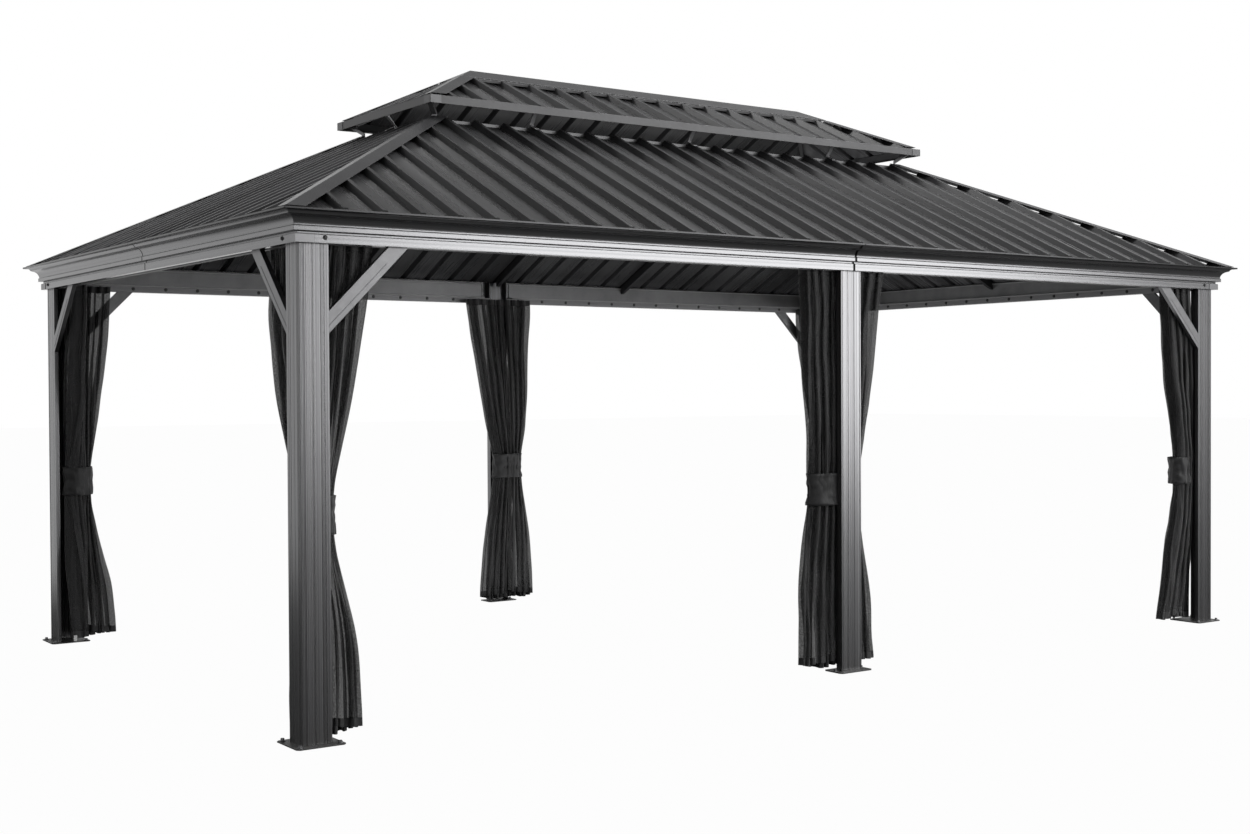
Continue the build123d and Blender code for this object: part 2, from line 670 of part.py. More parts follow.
def strut(x, setback, half_span):
    """A strut at x on the curb facing -Y, its tab on the rib below."""
    flange_inset = half_span - setback - STRUT_LEAN
    top_outer = upper_underside(flange_inset) - FASCIA_THICK
    top_inner = upper_underside(flange_inset + STRUT_THICK) - FASCIA_THICK
    plane = Plane(origin=(x + STRUT_WIDTH / 2, -setback, 0), x_dir=(0, -1, 0), z_dir=(-1, 0, 0))
    with BuildPart() as strap:
        with BuildSketch(plane):
            with BuildLine():
                Polyline(
                    (-STRUT_THICK, CURB_TOP),
                    (0, CURB_TOP),
                    (0, rib_level),
                    (STRUT_TAB, rib_level - tab_drop),
                    (STRUT_TAB, rib_level - tab_drop + STRUT_SKIN),
                    (STRUT_SKIN, rib_level + STRUT_SKIN * (1 - LOWER_SLOPE)),
                    (STRUT_LEAN, top_outer),
                    (STRUT_LEAN - STRUT_THICK, top_inner),
                    close=True,
                )
            make_face()
        extrude(amount=STRUT_WIDTH)
    return strap.part


front_struts = [strut(x, VENT_HALF_WIDTH, UPPER_WIDTH / 2) for x in (-RAFTER_SPACING, 0, RAFTER_SPACING)]
side_strut = strut(0, VENT_HALF_LENGTH, UPPER_LENGTH / 2)

# Corner struts: the strap leans out along the hip and carries a gusset under the fascia flange
corner_lean = STRUT_LEAN * 2 ** 0.5
corner_base = (VENT_HALF_LENGTH - CURB_WIDTH / 2, -VENT_HALF_WIDTH + CURB_WIDTH / 2, 0)
corner_reach = corner_base[0] + STRUT_LEAN + (STRUT_THICK + STRUT_WIDTH) / 2 / 2 ** 0.5
corner_top = upper_underside(UPPER_LENGTH / 2 - corner_reach) - FASCIA_THICK
strut_knee = rib_level + 2 * STRUT_SKIN
with BuildPart() as corner_strut:
    with BuildSketch(Plane(origin=corner_base, x_dir=(1, -1, 0), z_dir=(-1, -1, 0))):
        with BuildLine():
            Polyline(
                (-STRUT_THICK / 2, CURB_TOP),
                (STRUT_THICK / 2, CURB_TOP),
                (STRUT_THICK / 2, strut_knee),
                (corner_lean + STRUT_THICK / 2, corner_top),
                (corner_lean - GUSSET_REACH, corner_top),
                (corner_lean - GUSSET_REACH, corner_top - STRUT_THICK),
                (-STRUT_THICK / 2, strut_knee + STRUT_THICK),
                close=True,
            )
        make_face()
    extrude(amount=STRUT_WIDTH / 2, both=True)
corner_struts = [corner_strut.part, mirror(corner_strut.part, about=Plane.YZ)]

struts = front_struts + corner_struts
struts += [mirror(piece, about=Plane.XZ) for piece in struts]
struts += [side_strut.rotate(Axis.Z, -90), side_strut.rotate(Axis.Z, 90)]
save(Compound(children=struts), "vent_struts")

# Upper frame: two purlins beside the open ridge and a rafter under each hip
purlin_inner = UPPER_WIDTH / 2 - RIDGE_OPENING - PURLIN_SIZE
purlin_outer = UPPER_WIDTH / 2 - RIDGE_OPENING
purlin_end = RIDGE_HALF_LENGTH - RIDGE_OPENING
with BuildPart() as purlin:
    with BuildSketch(Plane(origin=(-purlin_end, 0, 0), x_dir=(0, 1, 0), z_dir=(1, 0, 0))):
        with BuildLine():
            Polyline(
                (-RIDGE_OPENING, upper_underside(purlin_outer)),
                (-RIDGE_OPENING - PURLIN_SIZE, upper_underside(purlin_inner)),
                (-RIDGE_OPENING - PURLIN_SIZE, upper_underside(purlin_inner) - PURLIN_SIZE),
                (-RIDGE_OPENING, upper_underside(purlin_inner) - PURLIN_SIZE),
                close=True,
            )
        make_face()
    extrude(amount=2 * purlin_end)

upper_hip_rise = UPPER_SLOPE / 2 ** 0.5
upper_hip_start = FASCIA_FLANGE * 2 ** 0.5 + PURLIN_SIZE / 2
upper_hip_end = (UPPER_WIDTH / 2 - RIDGE_OPENING) * 2 ** 0.5 - PURLIN_SIZE
upper_hip_z = upper_underside(0) - PURLIN_SIZE / 2 * upper_hip_rise
with BuildPart() as upper_hip:
    with BuildSketch(
        Plane(origin=(UPPER_LENGTH / 2, -UPPER_WIDTH / 2, 0), x_dir=(-1, 1, 0), z_dir=(1, 1, 0))
    ):
        with BuildLine():
            Polyline(
                (upper_hip_start, upper_hip_z + upper_hip_start * upper_hip_rise),
                (upper_hip_start, upper_hip_z + upper_hip_start * upper_hip_rise - PURLIN_SIZE),
                (upper_hip_end, upper_hip_z + upper_hip_end * upper_hip_rise - PURLIN_SIZE),
                (upper_hip_end, upper_hip_z + upper_hip_end * upper_hip_rise),
                close=True,
            )
        make_face()
    extrude(amount=PURLIN_SIZE / 2, both=True)
upper_frame = [purlin.part, mirror(purlin.part, about=Plane.XZ)]
upper_hips = [upper_hip.part, mirror(upper_hip.part, about=Plane.YZ)]
upper_frame += upper_hips + [mirror(piece, about=Plane.XZ) for piece in upper_hips]
save(Compound(children=upper_frame), "upper_rafters")


# Curtains: a tied bunch at each post, as an upper and a lower stretch with the band between
def crossed_outlines(reference, turn, rings):
    """A solid with two outlines, one seen along its depth and one across it.

    The depth runs from the reference point at the angle turn. Each ring gives a height, the
    distance of the centre along the depth, the reach to the left and right, and the half-depth.
    """
    depth_axis = Vector(1, 0, 0).rotate(Axis.Z, turn)
    width_axis = Vector(0, 1, 0).rotate(Axis.Z, turn)
    near = [(distance - half_depth, height) for height, distance, _, _, half_depth in rings]
    far = [(distance + half_depth, height) for height, distance, _, _, half_depth in rings]
    left = [(-reach, height) for height, _, reach, _, _ in rings]
    right = [(reach, height) for height, _, _, reach, _ in rings]
    with BuildPart() as solid:
        with BuildSketch(Plane(origin=reference, x_dir=width_axis, z_dir=depth_axis)):
            with BuildLine():
                Polyline(left + right[::-1], close=True)
            make_face()
        extrude(amount=max(distance for distance, _ in far))
        with BuildSketch(Plane(origin=reference, x_dir=depth_axis, z_dir=-width_axis)):
            with BuildLine():
                Polyline(near + far[::-1], close=True)
            make_face()
        extrude(amount=max(abs(reach) for reach, _ in left + right), both=True, mode=Mode.INTERSECT)
    return solid.part


def bunch(reference, turn, profile, distance):
    """The two stretches and the band of one bunch; distance gives its centre from a profile row."""
    tie_top = TIE_BOTTOM + TIE_HEIGHT
    heights = [RAIL_UNDERSIDE, CURTAIN_NECK, tie_top + CURTAIN_CLEAR]
    heights += [TIE_BOTTOM - CURTAIN_CLEAR, CURTAIN_FLARE, CURTAIN_HEM]
    rings = [(height, distance(row), *row) for height, row in zip(heights, profile)]
    band_row = [size + TIE_PROUD for size in profile[2]]
    band = [(height, distance(band_row), *band_row) for height in (tie_top, TIE_BOTTOM)]
    stretches = [crossed_outlines(reference, turn, part) for part in (rings[:3], rings[3:])]
    return stretches, crossed_outlines(reference, turn, band)


def corner_distance(row):
    """Centre of a bunch from the corner of the post faces, clear of both braces."""
    return (BRACE_THICK + BUNCH_GAP) / cos(radians(45)) + row[0] + row[2]


def middle_distance(row):
    """Centre of a bunch from the post's outer face, just behind the post."""
    return MIDDLE_POST_DEPTH + CURTAIN_CLEAR + row[2]


corner_bunch, corner_tie = bunch((HALF_LENGTH, HALF_WIDTH, 0), 225, CORNER_BUNCH, corner_distance)
back_bunch, back_tie = bunch((0, HALF_WIDTH, 0), 270, BACK_BUNCH, middle_distance)
front_bunch, front_tie = bunch((0, HALF_WIDTH, 0), 270, FRONT_BUNCH, middle_distance)
left_bunch = [mirror(piece, about=Plane.YZ) for piece in corner_bunch]
corner_ties = [corner_tie, mirror(corner_tie, about=Plane.YZ)]
ties = [back_tie] + corner_ties + [mirror(tie, about=Plane.XZ) for tie in [front_tie] + corner_ties]
save(Compound(children=ties), "curtain_ties")
for stretches, place in ((corner_bunch, "right"), (left_bunch, "left"), (front_bunch, "middle")):
    save(Compound(children=[mirror(piece, about=Plane.XZ) for piece in stretches]), f"curtain_front_{place}")
for stretches, place in ((corner_bunch, "right"), (left_bunch, "left"), (back_bunch, "middle")):
    save(Compound(children=stretches), f"curtain_back_{place}")
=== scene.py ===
import math
import random

import bmesh
import bpy
from mathutils import Matrix, Vector, noise


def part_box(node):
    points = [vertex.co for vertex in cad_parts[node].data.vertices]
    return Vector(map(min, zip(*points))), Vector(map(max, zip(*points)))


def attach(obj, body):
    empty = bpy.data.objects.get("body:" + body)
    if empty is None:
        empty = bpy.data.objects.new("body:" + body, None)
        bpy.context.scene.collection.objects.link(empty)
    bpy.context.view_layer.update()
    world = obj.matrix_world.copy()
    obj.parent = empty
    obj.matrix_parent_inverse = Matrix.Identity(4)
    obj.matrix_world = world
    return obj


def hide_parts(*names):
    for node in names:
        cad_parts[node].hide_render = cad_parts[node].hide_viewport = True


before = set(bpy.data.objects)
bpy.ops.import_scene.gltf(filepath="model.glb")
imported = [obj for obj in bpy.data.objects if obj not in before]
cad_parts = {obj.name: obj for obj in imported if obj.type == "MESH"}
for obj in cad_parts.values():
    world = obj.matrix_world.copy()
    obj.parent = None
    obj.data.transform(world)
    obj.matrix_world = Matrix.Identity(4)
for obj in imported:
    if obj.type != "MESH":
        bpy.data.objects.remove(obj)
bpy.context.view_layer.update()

# The view: a tripod at chest height off the front left corner, with a normal lens.
# The place and the three angles come from a fit to the corners, seams and ribs that show.
CAMERA_PLACE = Vector((-5.4911, -7.58, 1.3858))
TURN, TILT, LEAN = (math.radians(angle) for angle in (35.1484, -0.9332, -0.2922))
camera = bpy.data.objects.new("camera", bpy.data.cameras.new("camera"))
camera.data.sensor_width = 36
camera.data.lens = 46.7
camera.matrix_world = (
    Matrix.Translation(CAMERA_PLACE)
    @ Matrix.Rotation(-TURN, 4, "Z")
    @ Matrix.Rotation(math.pi / 2 + TILT, 4, "X")
    @ Matrix.Rotation(LEAN, 4, "Z")
)
bpy.context.scene.collection.objects.link(camera)
bpy.context.scene.camera = camera
bpy.context.scene.view_settings.view_transform = "Standard"


def add_node(tree, kind, **settings):
    """A shader node with its properties, or its sockets' values, set by name."""
    node = tree.nodes.new(kind)
    for key, value in settings.items():
        if hasattr(node, key):
            setattr(node, key, value)
        else:
            node.inputs[key.replace("_", " ")].default_value = value
    return node


def seen_directly(tree):
    """A value that is 1 for what the camera sees straight, in gloss or through glass."""
    path = add_node(tree, "ShaderNodeLightPath")
    either = add_node(tree, "ShaderNodeMath", operation="MAXIMUM")
    any_ray = add_node(tree, "ShaderNodeMath", operation="MAXIMUM")
    tree.links.new(path.outputs["Is Camera Ray"], either.inputs[0])
    tree.links.new(path.outputs["Is Glossy Ray"], either.inputs[1])
    tree.links.new(either.outputs[0], any_ray.inputs[0])
    tree.links.new(path.outputs["Is Transmission Ray"], any_ray.inputs[1])
    return path, any_ray


# The studio's walls and ceiling: a white cove that dims to a grey ceiling, so that the metal's
# gloss is pale at the sides and the roof's stays dark. The camera itself sees plain white.
COVE_TOP = 0.16
CEILING_START = 0.5
CEILING_GREY = (0.2, 0.2, 0.2, 1)
WHITE = (1, 1, 1, 1)
FILL_GREY = (0.3, 0.3, 0.3, 1)
world = bpy.data.worlds.new("studio")
bpy.context.scene.world = world
world.use_nodes = True
tree = world.node_tree
tree.nodes.clear()
direction = add_node(tree, "ShaderNodeTexCoord")
parts = add_node(tree, "ShaderNodeSeparateXYZ")
ceiling = add_node(tree, "ShaderNodeValToRGB")
ceiling.color_ramp.elements[0].position = COVE_TOP
ceiling.color_ramp.elements[0].color = WHITE
ceiling.color_ramp.elements[1].position = CEILING_START
ceiling.color_ramp.elements[1].color = CEILING_GREY
path, direct = seen_directly(tree)
camera_white = add_node(tree, "ShaderNodeMixRGB", Color2=WHITE)
fill_or_direct = add_node(tree, "ShaderNodeMixRGB", Color1=FILL_GREY)
background = add_node(tree, "ShaderNodeBackground", Strength=1.0)
world_out = add_node(tree, "ShaderNodeOutputWorld")
tree.links.new(direction.outputs["Generated"], parts.inputs[0])
tree.links.new(parts.outputs["Z"], ceiling.inputs["Fac"])
tree.links.new(ceiling.outputs["Color"], camera_white.inputs["Color1"])
tree.links.new(path.outputs["Is Camera Ray"], camera_white.inputs["Fac"])
tree.links.new(direct.outputs[0], fill_or_direct.inputs["Fac"])
tree.links.new(camera_white.outputs["Color"], fill_or_direct.inputs["Color2"])
tree.links.new(fill_or_direct.outputs["Color"], background.inputs["Color"])
tree.links.new(background.outputs["Background"], world_out.inputs["Surface"])

# The floor: a wide matt sheet, shown almost plain white, with a little of the object's shadow.
# In the metal's gloss it is grey in front and under the gazebo, and glows behind it.
FLOOR_HALF = 60
FLOOR_GREY = (0.42, 0.42, 0.42, 1)
FLOOR_SHOWN_WHITE = 0.98
GLOW_FROM_Y, GLOW_FULL_Y, GLOW_STRENGTH = 3.0, 5.5, 0.8
bm = bmesh.new()
bmesh.ops.create_grid(bm, x_segments=1, y_segments=1, size=FLOOR_HALF)
floor_mesh = bpy.data.meshes.new("floor")
bm.to_mesh(floor_mesh)
bm.free()
floor = bpy.data.objects.new("floor", floor_mesh)
bpy.context.scene.collection.objects.link(floor)
floor_finish = bpy.data.materials.new("floor")
floor_finish.use_nodes = True
tree = floor_finish.node_tree
tree.nodes.clear()
matt = add_node(tree, "ShaderNodeBsdfDiffuse", Color=FLOOR_GREY)
place = add_node(tree, "ShaderNodeTexCoord")
parts = add_node(tree, "ShaderNodeSeparateXYZ")
lit_back = add_node(
    tree, "ShaderNodeMapRange", From_Min=GLOW_FROM_Y, From_Max=GLOW_FULL_Y, To_Min=0.0, To_Max=GLOW_STRENGTH
)
in_gloss = add_node(tree, "ShaderNodeMath", operation="MULTIPLY")
back_glow = add_node(tree, "ShaderNodeEmission", Color=WHITE)
matt_and_glow = add_node(tree, "ShaderNodeAddShader")
glow = add_node(tree, "ShaderNodeEmission", Color=WHITE, Strength=1.0)
blend = add_node(tree, "ShaderNodeMixShader")
share = add_node(tree, "ShaderNodeMath", operation="MULTIPLY")
share.inputs[1].default_value = FLOOR_SHOWN_WHITE
floor_out = add_node(tree, "ShaderNodeOutputMaterial")
path = add_node(tree, "ShaderNodeLightPath")
tree.links.new(path.outputs["Is Camera Ray"], share.inputs[0])
tree.links.new(share.outputs[0], blend.inputs["Fac"])
tree.links.new(place.outputs["Object"], parts.inputs[0])
tree.links.new(parts.outputs["Y"], lit_back.inputs["Value"])
tree.links.new(lit_back.outputs["Result"], in_gloss.inputs[0])
tree.links.new(path.outputs["Is Glossy Ray"], in_gloss.inputs[1])
tree.links.new(in_gloss.outputs[0], back_glow.inputs["Strength"])
tree.links.new(matt.outputs[0], matt_and_glow.inputs[0])
tree.links.new(back_glow.outputs[0], matt_and_glow.inputs[1])
tree.links.new(matt_and_glow.outputs[0], blend.inputs[1])
tree.links.new(glow.outputs[0], blend.inputs[2])
tree.links.new(blend.outputs[0], floor_out.inputs["Surface"])
floor_mesh.materials.append(floor_finish)

# The lamps: a wide soft one low in front on the right, one over the roof, a weak one high up behind
# on the left, and a weak one that shines up from the floor. They leave the floor itself out, so that
# it stays evenly dim in the metal's gloss.
off_floor = bpy.data.collections.new("off_floor")
off_floor.objects.link(floor)
off_floor.collection_objects[0].light_linking.link_state = "EXCLUDE"


def soft_light(name, place, target, width, height, power):
    """A rectangular studio light that faces a point, lights the object and isn't seen itself."""
    lamp = bpy.data.lights.new(name, "AREA")
    lamp.shape = "RECTANGLE"
    lamp.size = width
    lamp.size_y = height
    lamp.energy = power
    light = bpy.data.objects.new(name, lamp)
    light.location = place
    light.rotation_euler = (Vector(target) - Vector(place)).to_track_quat("-Z", "Y").to_euler()
    light.visible_camera = False
    bpy.context.scene.collection.objects.link(light)
    light.light_linking.receiver_collection = off_floor


soft_light(
    "front_light", place=(6.4, -11.0, 2.6), target=(0.6, 0, 2.0), width=8.6, height=4.2, power=620
)
soft_light(
    "roof_light", place=(3.2, -2.0, 7.4), target=(1.2, -0.6, 2.4), width=5.2, height=5.2, power=640
)
soft_light(
    "edge_light", place=(-4.5, 6.0, 11.0), target=(0, 0, 2.5), width=4.0, height=2.5, power=200
)
soft_light(
    "floor_bounce", place=(0.6, 0.2, 0.06), target=(0.6, 0.2, 2.5), width=4.8, height=2.6, power=36
)

# Foot plates: cut from sheet steel and powder coated charcoal, one under each post.
# Anchor bolts with washers hold them down through their holes.
CORNERS = [(side_x, side_y) for side_x in (-1, 1) for side_y in (-1, 1)]
STEEL_GREY = (0.032, 0.032, 0.034)
EASED_EDGE = 0.0025
LINES_PER_METRE = 130


def coated_metal(name, colour, roughness, stretch, metallic=0.0, peel=0.25, dust=0.0, lines=0.0):
    """Powder coat: a cloudy tone drawn out by stretch, die lines and a fine orange peel.

    The edges are eased as the coating rounds them, so they catch a line of light."""
    material = bpy.data.materials.new(name)
    material.use_nodes = True
    tree = material.node_tree
    shader = tree.nodes["Principled BSDF"]
    shader.inputs["Metallic"].default_value = metallic
    place = add_node(tree, "ShaderNodeTexCoord")
    drawn = add_node(tree, "ShaderNodeMapping", Scale=stretch)
    cloud = add_node(tree, "ShaderNodeTexNoise", Scale=2.2, Detail=5.0, Roughness=0.6)
    tone = add_node(tree, "ShaderNodeValToRGB")
    tone.color_ramp.elements[0].position = 0.3
    tone.color_ramp.elements[0].color = (*(part * 0.82 for part in colour), 1)
    tone.color_ramp.elements[1].position = 0.72
    tone.color_ramp.elements[1].color = (*(part * 1.14 for part in colour), 1)
    sheen = add_node(tree, "ShaderNodeMapRange", To_Min=roughness - 0.05, To_Max=roughness + 0.07)
    grain = add_node(tree, "ShaderNodeTexNoise", Scale=620.0, Detail=3.0)
    relief = add_node(tree, "ShaderNodeBump", Strength=peel, Distance=0.0004)
    tree.links.new(place.outputs["Object"], drawn.inputs["Vector"])
    tree.links.new(drawn.outputs["Vector"], cloud.inputs["Vector"])
    tree.links.new(cloud.outputs["Fac"], tone.inputs["Fac"])
    tree.links.new(cloud.outputs["Fac"], sheen.inputs["Value"])
    tree.links.new(sheen.outputs["Result"], shader.inputs["Roughness"])
    tree.links.new(place.outputs["Object"], grain.inputs["Vector"])
    tree.links.new(grain.outputs["Fac"], relief.inputs["Height"])
    tree.links.new(relief.outputs["Normal"], shader.inputs["Normal"])
    tree.links.new(tone.outputs["Color"], shader.inputs["Base Color"])
    eased = add_node(tree, "ShaderNodeBevel", samples=4, Radius=EASED_EDGE)
    tree.links.new(eased.outputs["Normal"], relief.inputs["Normal"])
    if lines:
        add_die_lines_and_painted_streaks(tree, place, tone, shader, stretch, lines)
    if dust:
        add_dust(tree, place, shader, dust)
    return material


def add_die_lines_and_painted_streaks(tree, place, tone, shader, stretch, strength):
    """Straight lines along a bar as a change of tone: die lines, and where they are strong, as on the posts,
    painted streaks of reflection.
    """
    across = [LINES_PER_METRE if part > 1 else 0.0 for part in stretch]
    along = add_node(tree, "ShaderNodeMapping", Scale=across)
    marks = add_node(tree, "ShaderNodeTexNoise", Scale=1.0, Detail=2.0, Roughness=0.8)
    depth = add_node(
        tree, "ShaderNodeMapRange", From_Min=0.3, From_Max=0.7, To_Min=1 - strength, To_Max=1 + strength
    )
    marked = add_node(tree, "ShaderNodeVectorMath", operation="SCALE")
    tree.links.new(place.outputs["Object"], along.inputs["Vector"])
    tree.links.new(along.outputs["Vector"], marks.inputs["Vector"])
    tree.links.new(marks.outputs["Fac"], depth.inputs["Value"])
    tree.links.new(tone.outputs["Color"], marked.inputs[0])
    tree.links.new(depth.outputs["Result"], marked.inputs["Scale"])
    tree.links.new(marked.outputs[0], shader.inputs["Base Color"])


def add_dust(tree, place, shader, height):
    """Pale dust that has settled on the lowest stretch of a piece."""
    clean = shader.inputs["Base Color"].links[0].from_socket
    parts = add_node(tree, "ShaderNodeSeparateXYZ")
    low = add_node(tree, "ShaderNodeMapRange", From_Min=0.0, From_Max=height, To_Min=0.55, To_Max=0.0)
    specks = add_node(tree, "ShaderNodeTexNoise", Scale=60.0, Detail=6.0)
    share = add_node(tree, "ShaderNodeMath", operation="MULTIPLY")
    mixed = add_node(tree, "ShaderNodeMixRGB", Color2=(0.16, 0.155, 0.15, 1))
    tree.links.new(place.outputs["Object"], parts.inputs[0])
    tree.links.new(parts.outputs["Z"], low.inputs["Value"])
    tree.links.new(place.outputs["Object"], specks.inputs["Vector"])
    tree.links.new(low.outputs["Result"], share.inputs[0])
    tree.links.new(specks.outputs["Fac"], share.inputs[1])
    tree.links.new(share.outputs[0], mixed.inputs["Fac"])
    tree.links.new(clean, mixed.inputs["Color1"])
    tree.links.new(mixed.outputs["Color"], shader.inputs["Base Color"])


def finish_node(name, material):
    """A CAD node takes a finish in all of its material slots."""
    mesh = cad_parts[name].data
    if not mesh.materials:
        mesh.materials.append(material)
    for index in range(len(mesh.materials)):
        mesh.materials[index] = material


def add_piece(name, bm, material):
    """A finished mesh becomes a piece of the one fixed body."""
    bmesh.ops.recalc_face_normals(bm, faces=bm.faces)
    mesh = bpy.data.meshes.new(name)
    bm.to_mesh(mesh)
    bm.free()
    mesh.materials.append(material)
    piece = bpy.data.objects.new(name, mesh)
    bpy.context.scene.collection.objects.link(piece)
    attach(piece, "root")
    return piece


def facing(place, direction):
    """A matrix that stands a shape's Z axis on a place, along a direction."""
    turn = Vector(direction).to_track_quat("Z", "Y").to_matrix().to_4x4()
    return Matrix.Translation(place) @ turn


def add_bolt(bm, place, direction, width, height, washer=1.6):
    """A hexagon head on a round washer, standing on a surface along its normal."""
    thin = height * 0.25
    for segments, radius, top, low, deep in (
        (16, width * washer / 2, width * washer / 2.2, 0.0, thin),
        (6, width / 2, width / 2.3, thin, height),
    ):
        middle = Matrix.Translation((0, 0, low + deep / 2))
        bmesh.ops.create_cone(
            bm, cap_ends=True, segments=segments, radius1=radius, radius2=top, depth=deep,
            matrix=facing(place, direction) @ middle,
        )


PLATE_HALF = 0.105
HOLE_INSET = 0.02
MIDDLE_HOLES_IN = 0.065
ANCHOR_WIDTH, ANCHOR_HEIGHT = 0.017, 0.009
steel_finish = coated_metal("steel_powder_coat", STEEL_GREY, 0.42, (1, 1, 1), peel=0.4)
plate_finish = coated_metal("plate_powder_coat", STEEL_GREY, 0.45, (1, 1, 1), peel=0.4, dust=0.02)
bolt_finish = coated_metal("zinc_bolt", (0.17, 0.17, 0.175), 0.36, (40, 40, 40), metallic=0.8)
finish_node("foot_plates", plate_finish)
_, plates_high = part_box("foot_plates")
hole = PLATE_HALF - HOLE_INSET
bm = bmesh.new()
for side_x, side_y in CORNERS:
    plate_x, plate_y = side_x * (plates_high.x - PLATE_HALF), side_y * (plates_high.y - PLATE_HALF)
    for step_x, step_y in CORNERS:
        place = (plate_x + step_x * hole, plate_y + step_y * hole, plates_high.z)
        add_bolt(bm, place, (0, 0, 1), ANCHOR_WIDTH, ANCHOR_HEIGHT)
for side_x, side_y in CORNERS:
    place = (side_x * hole, side_y * (plates_high.y - MIDDLE_HOLES_IN), plates_high.z)
    add_bolt(bm, place, (0, 0, 1), ANCHOR_WIDTH, ANCHOR_HEIGHT)
add_piece("anchor_bolts", bm, bolt_finish)

# Posts: open aluminium extrusions with reeded corners and fluted faces, powder coated.
# The finish carries strong upright lines of tone, partly die lines and partly painted streaks of the flutes'
# reflections, and dust at the foot.
ALUMINIUM_GREY = (0.16, 0.16, 0.164)
UPRIGHT = (26, 26, 0.02)
post_finish = coated_metal(
    "post_powder_coat", ALUMINIUM_GREY, 0.27, UPRIGHT, 0.85, peel=0.1, dust=0.1, lines=0.4
)
for side in ("front", "back"):
    for place in ("left", "middle", "right"):
        finish_node(f"post_{side}_{place}", post_finish)

# Eave: hollow aluminium beams bolted to the outside of the posts, and a bent crown moulding
# in front of each, both in two lengths with a seam over the middle of the side.
LONGWAYS = (0.02, 26, 26)
CROSSWAYS = (26, 0.02, 26)
DRIP_EDGE_Z = 2.083
SEAM_HALF = 0.0065
FADE = 0.002


def darken_seam(material, axis):
    """Shade and dirt in the seam between the two lengths, at the middle of the side."""
    tree = material.node_tree
    shader = tree.nodes["Principled BSDF"]
    clean = shader.inputs["Base Color"].links[0].from_socket
    place = add_node(tree, "ShaderNodeTexCoord")
    parts = add_node(tree, "ShaderNodeSeparateXYZ")
    distance = add_node(tree, "ShaderNodeMath", operation="ABSOLUTE")
    share = add_node(
        tree, "ShaderNodeMapRange", From_Min=SEAM_HALF, From_Max=SEAM_HALF + FADE, To_Min=1.0, To_Max=0.0
    )
    darker = add_node(tree, "ShaderNodeMixRGB", Color2=(0.006, 0.006, 0.006, 1))
    tree.links.new(place.outputs["Object"], parts.inputs[0])
    tree.links.new(parts.outputs[axis], distance.inputs[0])
    tree.links.new(distance.outputs[0], share.inputs["Value"])
    tree.links.new(share.outputs["Result"], darker.inputs["Fac"])
    tree.links.new(clean, darker.inputs["Color1"])
    tree.links.new(darker.outputs["Color"], shader.inputs["Base Color"])


def paint_shade_on_drip_edge(material, name):
    """The same finish, with painted shade along the cut upper edge of the moulding, above the drip edge's
    height.
    """
    crown_finish_with_painted_shade = material.copy()
    crown_finish_with_painted_shade.name = name
    tree = crown_finish_with_painted_shade.node_tree
    shader = tree.nodes["Principled BSDF"]
    tone = shader.inputs["Base Color"].links[0].from_socket
    place = add_node(tree, "ShaderNodeTexCoord")
    parts = add_node(tree, "ShaderNodeSeparateXYZ")
    edge = add_node(tree, "ShaderNodeMapRange", From_Min=DRIP_EDGE_Z, From_Max=DRIP_EDGE_Z + FADE)
    darker = add_node(tree, "ShaderNodeMixRGB", Color2=(0.035, 0.035, 0.036, 1))
    tree.links.new(place.outputs["Object"], parts.inputs[0])
    tree.links.new(parts.outputs["Z"], edge.inputs["Value"])
    tree.links.new(edge.outputs["Result"], darker.inputs["Fac"])
    tree.links.new(tone, darker.inputs["Color1"])
    tree.links.new(darker.outputs["Color"], shader.inputs["Base Color"])
    return crown_finish_with_painted_shade


for sides, length, stretch, axis in (
    (("front", "back"), "long", LONGWAYS, "X"), (("left", "right"), "short", CROSSWAYS, "Y"),
):
    beam_finish = coated_metal(
        f"{length}_side_powder_coat", ALUMINIUM_GREY, 0.24, stretch, 0.85, peel=0.1, lines=0.12
    )
    darken_seam(beam_finish, axis)
    # The crown's copy of the finish has painted shade on the drip edge along its top.
    crown_finish_with_painted_shade = paint_shade_on_drip_edge(beam_finish, f"{length}_crown_coat_with_painted_shade")
    for side in sides:
        finish_node(f"{side}_beam", beam_finish)
        finish_node(f"{side}_crown", crown_finish_with_painted_shade)

# Corner caps: thin angles of the same metal that hide the beams' mitres, a little paler.
# One bolt head shows beside each wing, in the flat band of the beam.
cap_finish = coated_metal("cap_powder_coat", (0.19, 0.19, 0.195), 0.34, (3, 3, 3), 0.85)
finish_node("corner_caps", cap_finish)
POST_X, POST_Y = 2.9, 1.71
BOLT_BEYOND_POST = 0.1
BAND_MIDDLE = 0.022
BEAM_BOLT_WIDTH, BEAM_BOLT_HEIGHT = 0.013, 0.005
beam_low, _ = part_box("front_beam")
side_low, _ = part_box("left_beam")
dark_bolt_finish = coated_metal("coated_bolt", (0.05, 0.05, 0.052), 0.4, (40, 40, 40), metallic=0.3)
bm = bmesh.new()
bolt_z = beam_low.z + BAND_MIDDLE
for side_x, side_y in CORNERS:
    on_long = (side_x * (POST_X - BOLT_BEYOND_POST), side_y * abs(beam_low.y), bolt_z)
    on_short = (side_x * abs(side_low.x), side_y * (POST_Y - BOLT_BEYOND_POST), bolt_z)
    add_bolt(bm, on_long, (0, side_y, 0), BEAM_BOLT_WIDTH, BEAM_BOLT_HEIGHT)
    add_bolt(bm, on_short, (side_x, 0, 0), BEAM_BOLT_WIDTH, BEAM_BOLT_HEIGHT)
add_piece("beam_bolts", bm, dark_bolt_finish)

